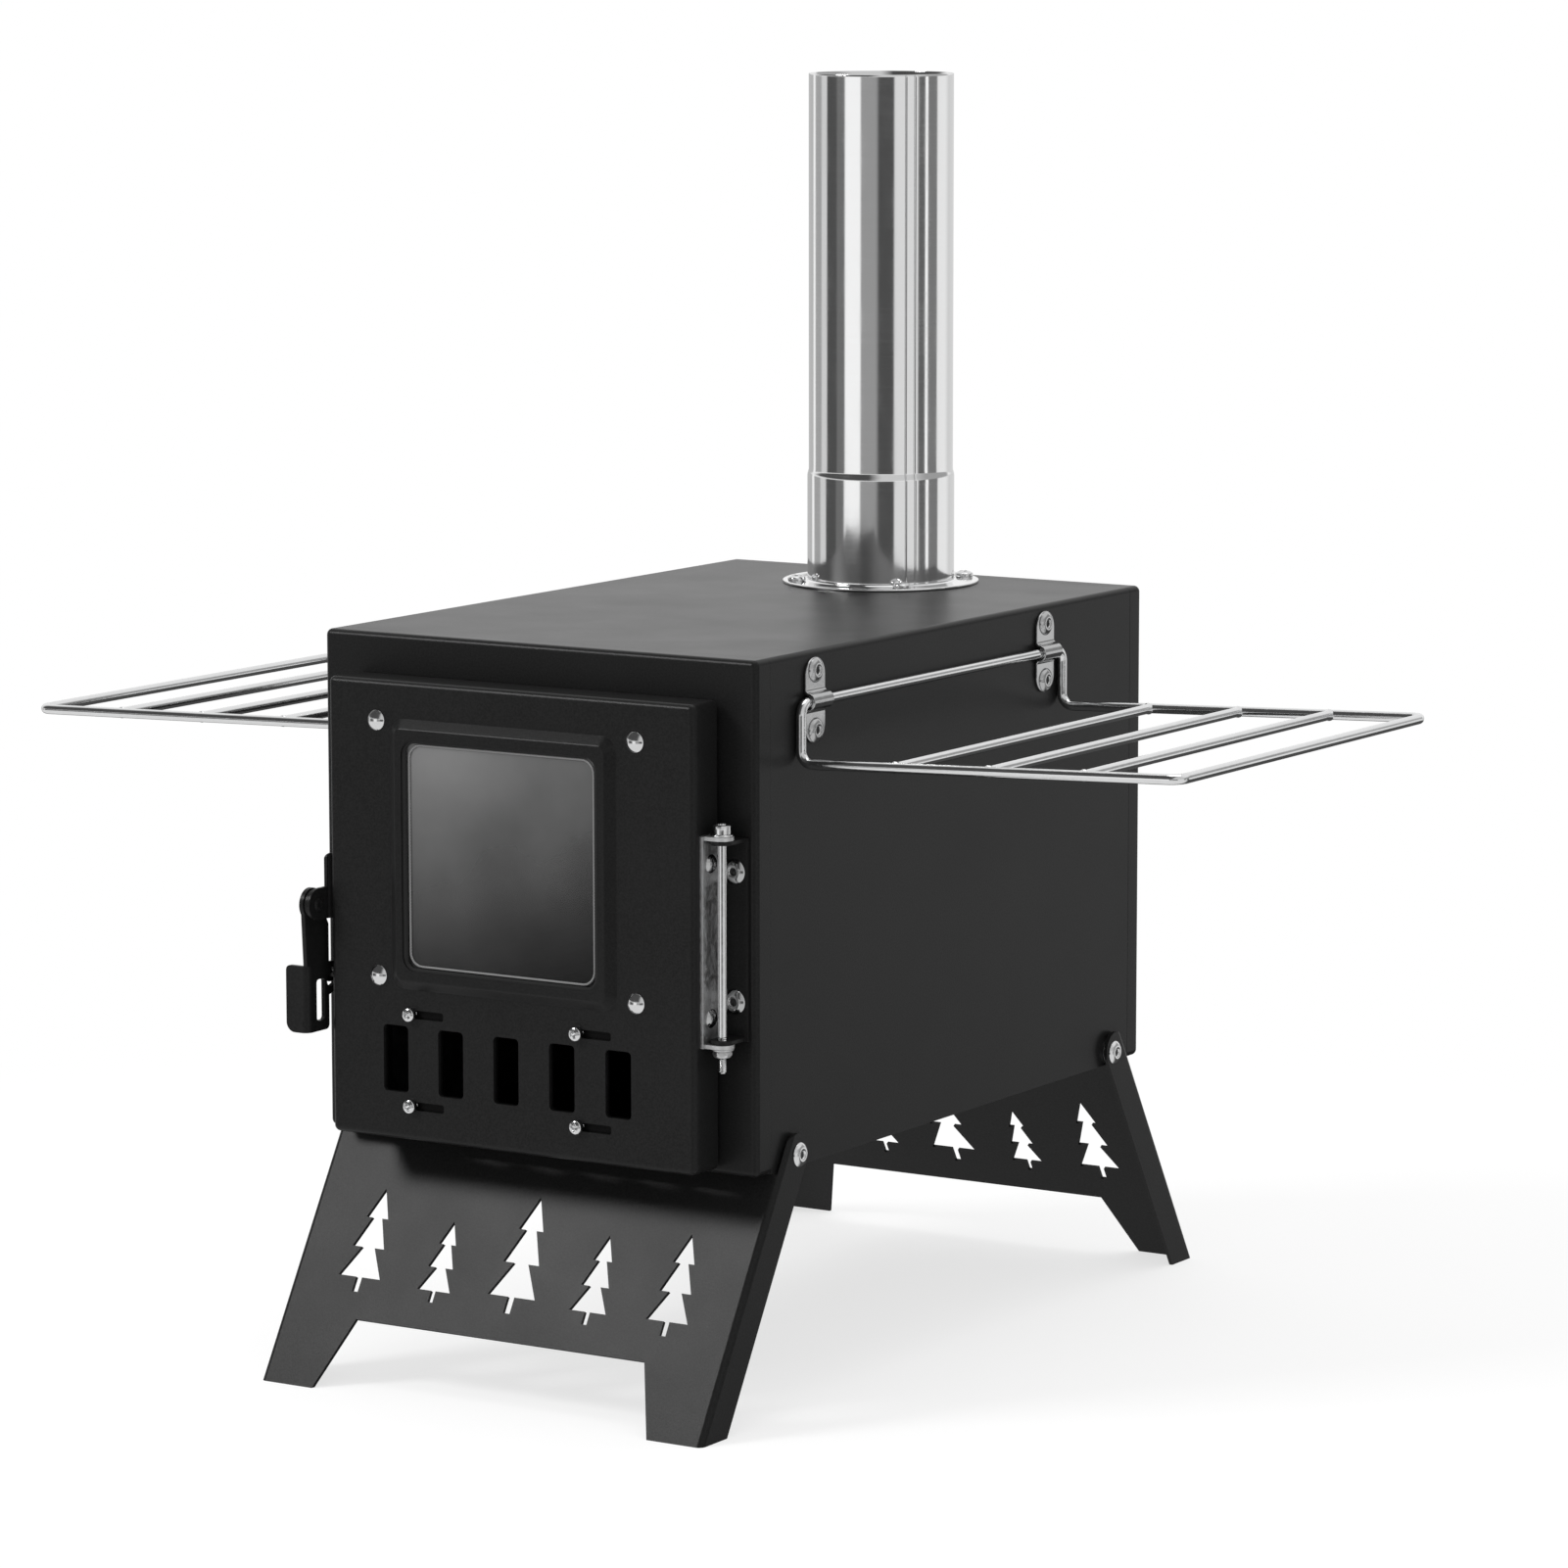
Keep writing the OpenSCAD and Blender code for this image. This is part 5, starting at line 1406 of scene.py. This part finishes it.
@dataclass
class Rack:
    """Folding wire rack with its clips."""

    side: Side
    tilt: float
    reach: float = 163.0
    length: float = 201.0
    drop: float = 23.0
    bend: float = 5.0
    wire: float = 2.0
    bars: int = 3
    bar_start: float = 0.4
    fine: float = 6.0
    swelling: float = 0.4
    swelling_at: float = 1.2
    swelling_half: float = 1.1
    end_cut: float = 0.6
    end_half: float = 0.7

    def __post_init__(self) -> None:
        """Finds the middle of the pivot wire's front end on the plain rack."""
        self.word = self.side.name.lower()
        low, high = box_mm("rack_frame_" + self.word)
        near = high[0] if self.side is Side.LEFT else low[0]
        self.origin = np.array([near + self.side.value * self.wire, low[1] + self.wire, high[2] - self.wire])

    def build(self) -> list[Object]:
        """Wire loop, cross wires, clips and clip rivets.

        Returns:
            The pieces.
        """
        word, facing = self.word, Facing.outward(self.side.value)
        clips = softened("rack_clips_" + word, DULL_NICKEL, "firebox", 0.35)
        heads, plain = "clip_rivet_heads_" + word, "clip_rivets_" + word
        rivets = riveted(heads, plain, BlindRivet(), facing, "firebox", DULL_NICKEL)
        return [self.loop(), self.crossbars(), clips, rivets]

    def on_stove(self, points: Array) -> Array:
        """Moves points drawn outward, back and up from the pivot's front end to the stove."""
        return points * np.array([self.side.value, 1, 1]) + self.origin

    def shelf(self, along: Array, y: Array) -> Array:
        """Points on the tilted shelf plane, from their distance along it and their depth."""
        t = math.radians(self.tilt)
        x = self.bend + along * math.cos(t)
        z = -self.drop + along * math.sin(t)
        return np.stack([x, y, z], -1)

    def loop(self) -> Object:
        """Wire bent round the pivot, the two drops and the shelf, with round corners."""
        t = math.radians(self.tilt)
        foot = -self.drop - self.bend * math.tan(t)
        out = self.shelf(np.array((self.reach - self.bend) / math.cos(t)), np.array(0.0))
        corners = np.array([
            (0, 0, 0), (0, 0, foot), (out[0], 0, out[2]), (out[0], self.length, out[2]),
            (0, self.length, foot), (0, self.length, 0),
        ])
        path = self.on_stove(rounded(corners, self.bend, 10))
        shell = tube(path, self.wire, 20, closed=True)
        name, body = "rack_loop_" + self.word, "rack_" + self.word
        return make_piece(name, [shell], WIRE, body, ["rack_frame_" + self.word])

    def crossbars(self) -> Object:
        """Cross wires, each widened at both ends into its weld.

        A wire's radius is swollen by a bell-shaped ring near each end and drawn in by a
        narrower one at the very end.

        Returns:
            The piece.
        """
        ends = np.linspace(self.bar_start, self.fine, 15)
        between = np.linspace(self.fine, self.length - self.fine, 5)
        y = np.unique(np.concatenate([ends, between, self.length - ends]))
        gap = np.minimum(y, self.length - y)
        swelling = self.swelling * np.exp(-(((gap - self.swelling_at) / self.swelling_half) ** 2))
        radius = self.wire + swelling - self.end_cut * np.exp(-((gap / self.end_half) ** 2))
        pitch = self.reach / (self.bars + 1)
        shells = []
        for index in range(1, self.bars + 1):
            along = (index * pitch - self.bend) + 0 * y
            shells.append(tube(self.on_stove(self.shelf(along, y)), radius, 18))
        name, body = "rack_crosswires_" + self.word, "rack_" + self.word
        return make_piece(name, shells, WIRE, body, ["rack_bars_" + self.word])


# ---------------------------------------------------------------- studio


@dataclass
class Studio:
    """Camera, lamps, floor and surroundings.

    Each span of the surroundings is two shares of a direction's x, y or z, between which one
    brightness fades into the next.
    """

    azimuth: float = 32.0
    elevation: float = 8.23
    roll: float = -0.05
    distance: float = 2.46286
    target: Point = (0.04977, -0.050, 0.23045)
    focal_pixels: float = 6381.45
    image_pixels: float = 1601.0
    sensor: float = 36.0
    ambient: float = 0.66
    key_place: Point = (-1.5, -1.7, 1.9)
    key_size: float = 0.8
    key_power: float = 36.0
    top_place: Point = (0.1, 0.1, 2.3)
    top_size: float = 1.5
    top_power: float = 12.0
    aim: Point = (0, 0, 0.2)
    floor_white: float = 0.86
    floor_shown: float = 0.33
    floor_lift: float = 0.7
    floor_half: float = 0.85
    floor_fade: Span = (0.3, 0.66)
    hood: float = 0.08
    open: float = 0.7
    behind: float = 1.0
    before: float = 0.92
    gap: float = 0.4
    hood_end: Span = (0.2, 0.5)
    hood_foot: Span = (0.09, 0.15)
    gap_start: Span = (0.22, 0.36)
    gap_top: Span = (0.38, 0.48)
    front_to_rear: Span = (-0.15, 0.3)
    pale_to_dark: Span = (0.3, 0.6)
    screen_top: Span = (0.03, 0.09)
    screen_foot: Span = (-0.2, -0.26)
    kept_from_key: tuple[str, ...] = ("rack_loop", "rack_crosswires", "window_dome_rivets")

    def build(self) -> None:
        """Sets up everything round the stove."""
        self.camera()
        self.world()
        self.floor()
        self.key = self.lamp("key", self.key_place, self.key_size, self.key_power)
        self.lamp("overhead", self.top_place, self.top_size, self.top_power)
        bpy.context.scene.view_settings.view_transform = "Standard"

    def camera(self) -> None:
        """Camera at the photograph's angle, rolled about its own line of sight."""
        a, e, r = (math.radians(x) for x in (self.azimuth, self.elevation, self.roll))
        back = Vector((math.sin(a) * math.cos(e), -math.cos(a) * math.cos(e), math.sin(e)))
        right = Vector((0, 0, 1)).cross(back).normalized()
        up = back.cross(right)
        right, up = right * math.cos(r) + up * math.sin(r), up * math.cos(r) - right * math.sin(r)
        data = bpy.data.cameras.new("camera")
        data.sensor_width = self.sensor
        data.lens = self.sensor * self.focal_pixels / self.image_pixels
        data.clip_start, data.clip_end = 0.05, 50
        camera = add_object("camera", data)
        turn = Matrix((right, up, back)).transposed().to_4x4()
        camera.matrix_world = Matrix.Translation(Vector(self.target) + back * self.distance) @ turn
        bpy.context.scene.camera = camera

    def lamp(self, name: str, place: Point, size: float, power: float) -> Object:
        """Square soft lamp aimed at the stove's middle.

        Args:
            name: The lamp's name.
            place: Where it hangs, in metres.
            size: Its side, in metres.
            power: Its power, in watts.

        Returns:
            The lamp.
        """
        data = bpy.data.lights.new(name, "AREA")
        data.size = size
        data.energy = power
        lamp = add_object(name, data)
        lamp.location = place
        aim = Vector(self.aim) - Vector(place)
        lamp.rotation_mode = "QUATERNION"
        lamp.rotation_quaternion = aim.to_track_quat("-Z", "Y")
        return lamp

    def shade(self, pieces: list[Object]) -> None:
        """Keeps the key lamp's glare off some thin bright pieces, as a small flag would.

        Args:
            pieces: The pieces in the flag's shade.
        """
        flagged = bpy.data.collections.new("flagged_from_key")
        for piece in pieces:
            flagged.objects.link(piece)
        for member in flagged.collection_objects:
            member.light_linking.link_state = "EXCLUDE"
        self.key.light_linking.receiver_collection = flagged

    def world(self) -> None:
        """White for the camera, plain for soft light, and a banded studio for reflections.

        Just below the horizon the studio's brightness follows the compass direction: white
        screens with darker gaps between. Above a white horizon, a dark hood stands over the
        front and all is white behind but for a low grey gap on the right. Below, it is pale
        in front and dark behind.
        """
        world = bpy.data.worlds.new("studio")
        bpy.context.scene.world = world
        world.use_nodes = True
        nodes = Nodes(world.node_tree)
        shader = nodes.tree.nodes["Background"]
        way = nodes.add("TexCoord").outputs["Generated"]
        x, y, z = nodes.add("SeparateXYZ", {"Vector": way}).outputs
        turn = nodes.math("ARCTAN2", x, nodes.math("MULTIPLY", y, -1.0))
        start = math.radians(self.azimuth) - math.pi
        wrapped = nodes.math("WRAP", nodes.math("SUBTRACT", turn, start), TAU, 0.0)
        compass = nodes.math("DIVIDE", wrapped, TAU)
        screens = nodes.ramp(compass, self.bands())
        front = nodes.fade(x, *self.hood_end, grey(self.hood), grey(self.open))
        front = nodes.fade(z, *self.hood_foot, grey(self.behind), front)
        rear = nodes.fade(x, *self.gap_start, grey(self.behind), grey(self.gap))
        rear = nodes.fade(z, *self.gap_top, rear, grey(self.behind))
        upper = nodes.fade(y, *self.front_to_rear, front, rear)
        lower = nodes.fade(y, *self.pale_to_dark, grey(self.before), grey(self.hood))
        around = nodes.fade(z, *self.screen_top, screens, upper)
        around = nodes.fade(z, *self.screen_foot, around, lower)
        path = nodes.add("LightPath")
        mirrored = nodes.blend(path.outputs["Is Glossy Ray"], grey(self.ambient), around)
        seen = nodes.blend(path.outputs["Is Camera Ray"], mirrored, grey(1.0))
        nodes.feed(shader.inputs["Color"], seen)
        shader.inputs["Strength"].default_value = 1.0

    def bands(self) -> list[tuple[float, float]]:
        """Brightness of the screens by direction from the camera's own, in degrees.

        Returns:
            Position from 0 to 1 round the compass, and brightness, for each stop.
        """
        marks = [
            (-180, -139, 0.55), (-138, -131, 1.05), (-129, -112, 0.42), (-110, -98, 0.75),
            (-96, -77, 0.09), (-75, -62, 0.18), (-60, -34.5, 1.12), (-32.5, -9, 0.36), (-4, 19, 0.085),
            (20.5, 59.5, 0.85), (61.5, 73, 0.14), (74, 79, 1.15), (80, 99, 0.22), (100.5, 122, 0.97),
            (135, 180, 0.74),
        ]
        stops = []
        for low, high, level in marks:
            stops += [((low + 180) / 360, level), ((high + 180) / 360, level)]
        return stops

    def floor(self) -> None:
        """Pale floor that keeps the stove's soft shadow and fades to white further out."""
        half = self.floor_half
        mesh = bpy.data.meshes.new("floor")
        corners = [(-half, -half, 0), (half, -half, 0), (half, half, 0), (-half, half, 0)]
        mesh.from_pydata(corners, [], [(0, 1, 2, 3)])
        floor = add_object("floor", mesh)
        material = bpy.data.materials.new("pale_floor")
        material.use_nodes = True
        tree = material.node_tree
        nodes = Nodes(tree)
        tree.nodes.remove(tree.nodes["Principled BSDF"])
        place = nodes.add("TexCoord").outputs["Object"]
        far = nodes.add("VectorMath", {0: place}, operation="LENGTH").outputs["Value"]
        near_edge, far_edge = self.floor_fade
        span = {"Value": far, "From Min": near_edge, "From Max": far_edge}
        fade = nodes.add("MapRange", span, interpolation_type="SMOOTHSTEP").outputs["Result"]
        path = nodes.add("LightPath")
        pale = nodes.add("BsdfDiffuse", {"Color": grey(self.floor_white)})
        shaded = nodes.add("BsdfDiffuse", {"Color": grey(self.floor_shown)})
        glow = nodes.add("Emission", {"Color": grey(1.0), "Strength": self.floor_lift})
        shown = nodes.add("AddShader", {0: shaded.outputs[0], 1: glow.outputs[0]})
        white = nodes.add("Emission", {"Color": grey(1.0), "Strength": 1.0})
        near = nodes.add("MixShader", {0: fade, 1: shown.outputs[0], 2: white.outputs[0]})
        seen = path.outputs["Is Camera Ray"]
        surface = nodes.add("MixShader", {0: seen, 1: pale.outputs[0], 2: near.outputs[0]})
        nodes.feed(tree.nodes["Material Output"].inputs["Surface"], surface.outputs[0])
        mesh.materials.append(material)
        floor.visible_glossy = False


def main() -> None:
    """Builds the stove's looks in order and reports each piece."""
    logging.basicConfig(level=logging.INFO, format="%(message)s")
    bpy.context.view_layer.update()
    studio = Studio()
    studio.build()
    assemblies = [
        Firebox(), Flue(), Hinge(), Door(), AirVent(), Latch(), Legs(),
        Rack(Side.LEFT, -1.6), Rack(Side.RIGHT, 2.2),
    ]
    flagged = []
    for assembly in assemblies:
        pieces = assembly.build()
        log.info("%s: %d pieces", type(assembly).__name__, len(pieces))
        flagged += [piece for piece in pieces if piece.name.startswith(studio.kept_from_key)]
    studio.shade(flagged)


if __name__ == "__main__":
    main()
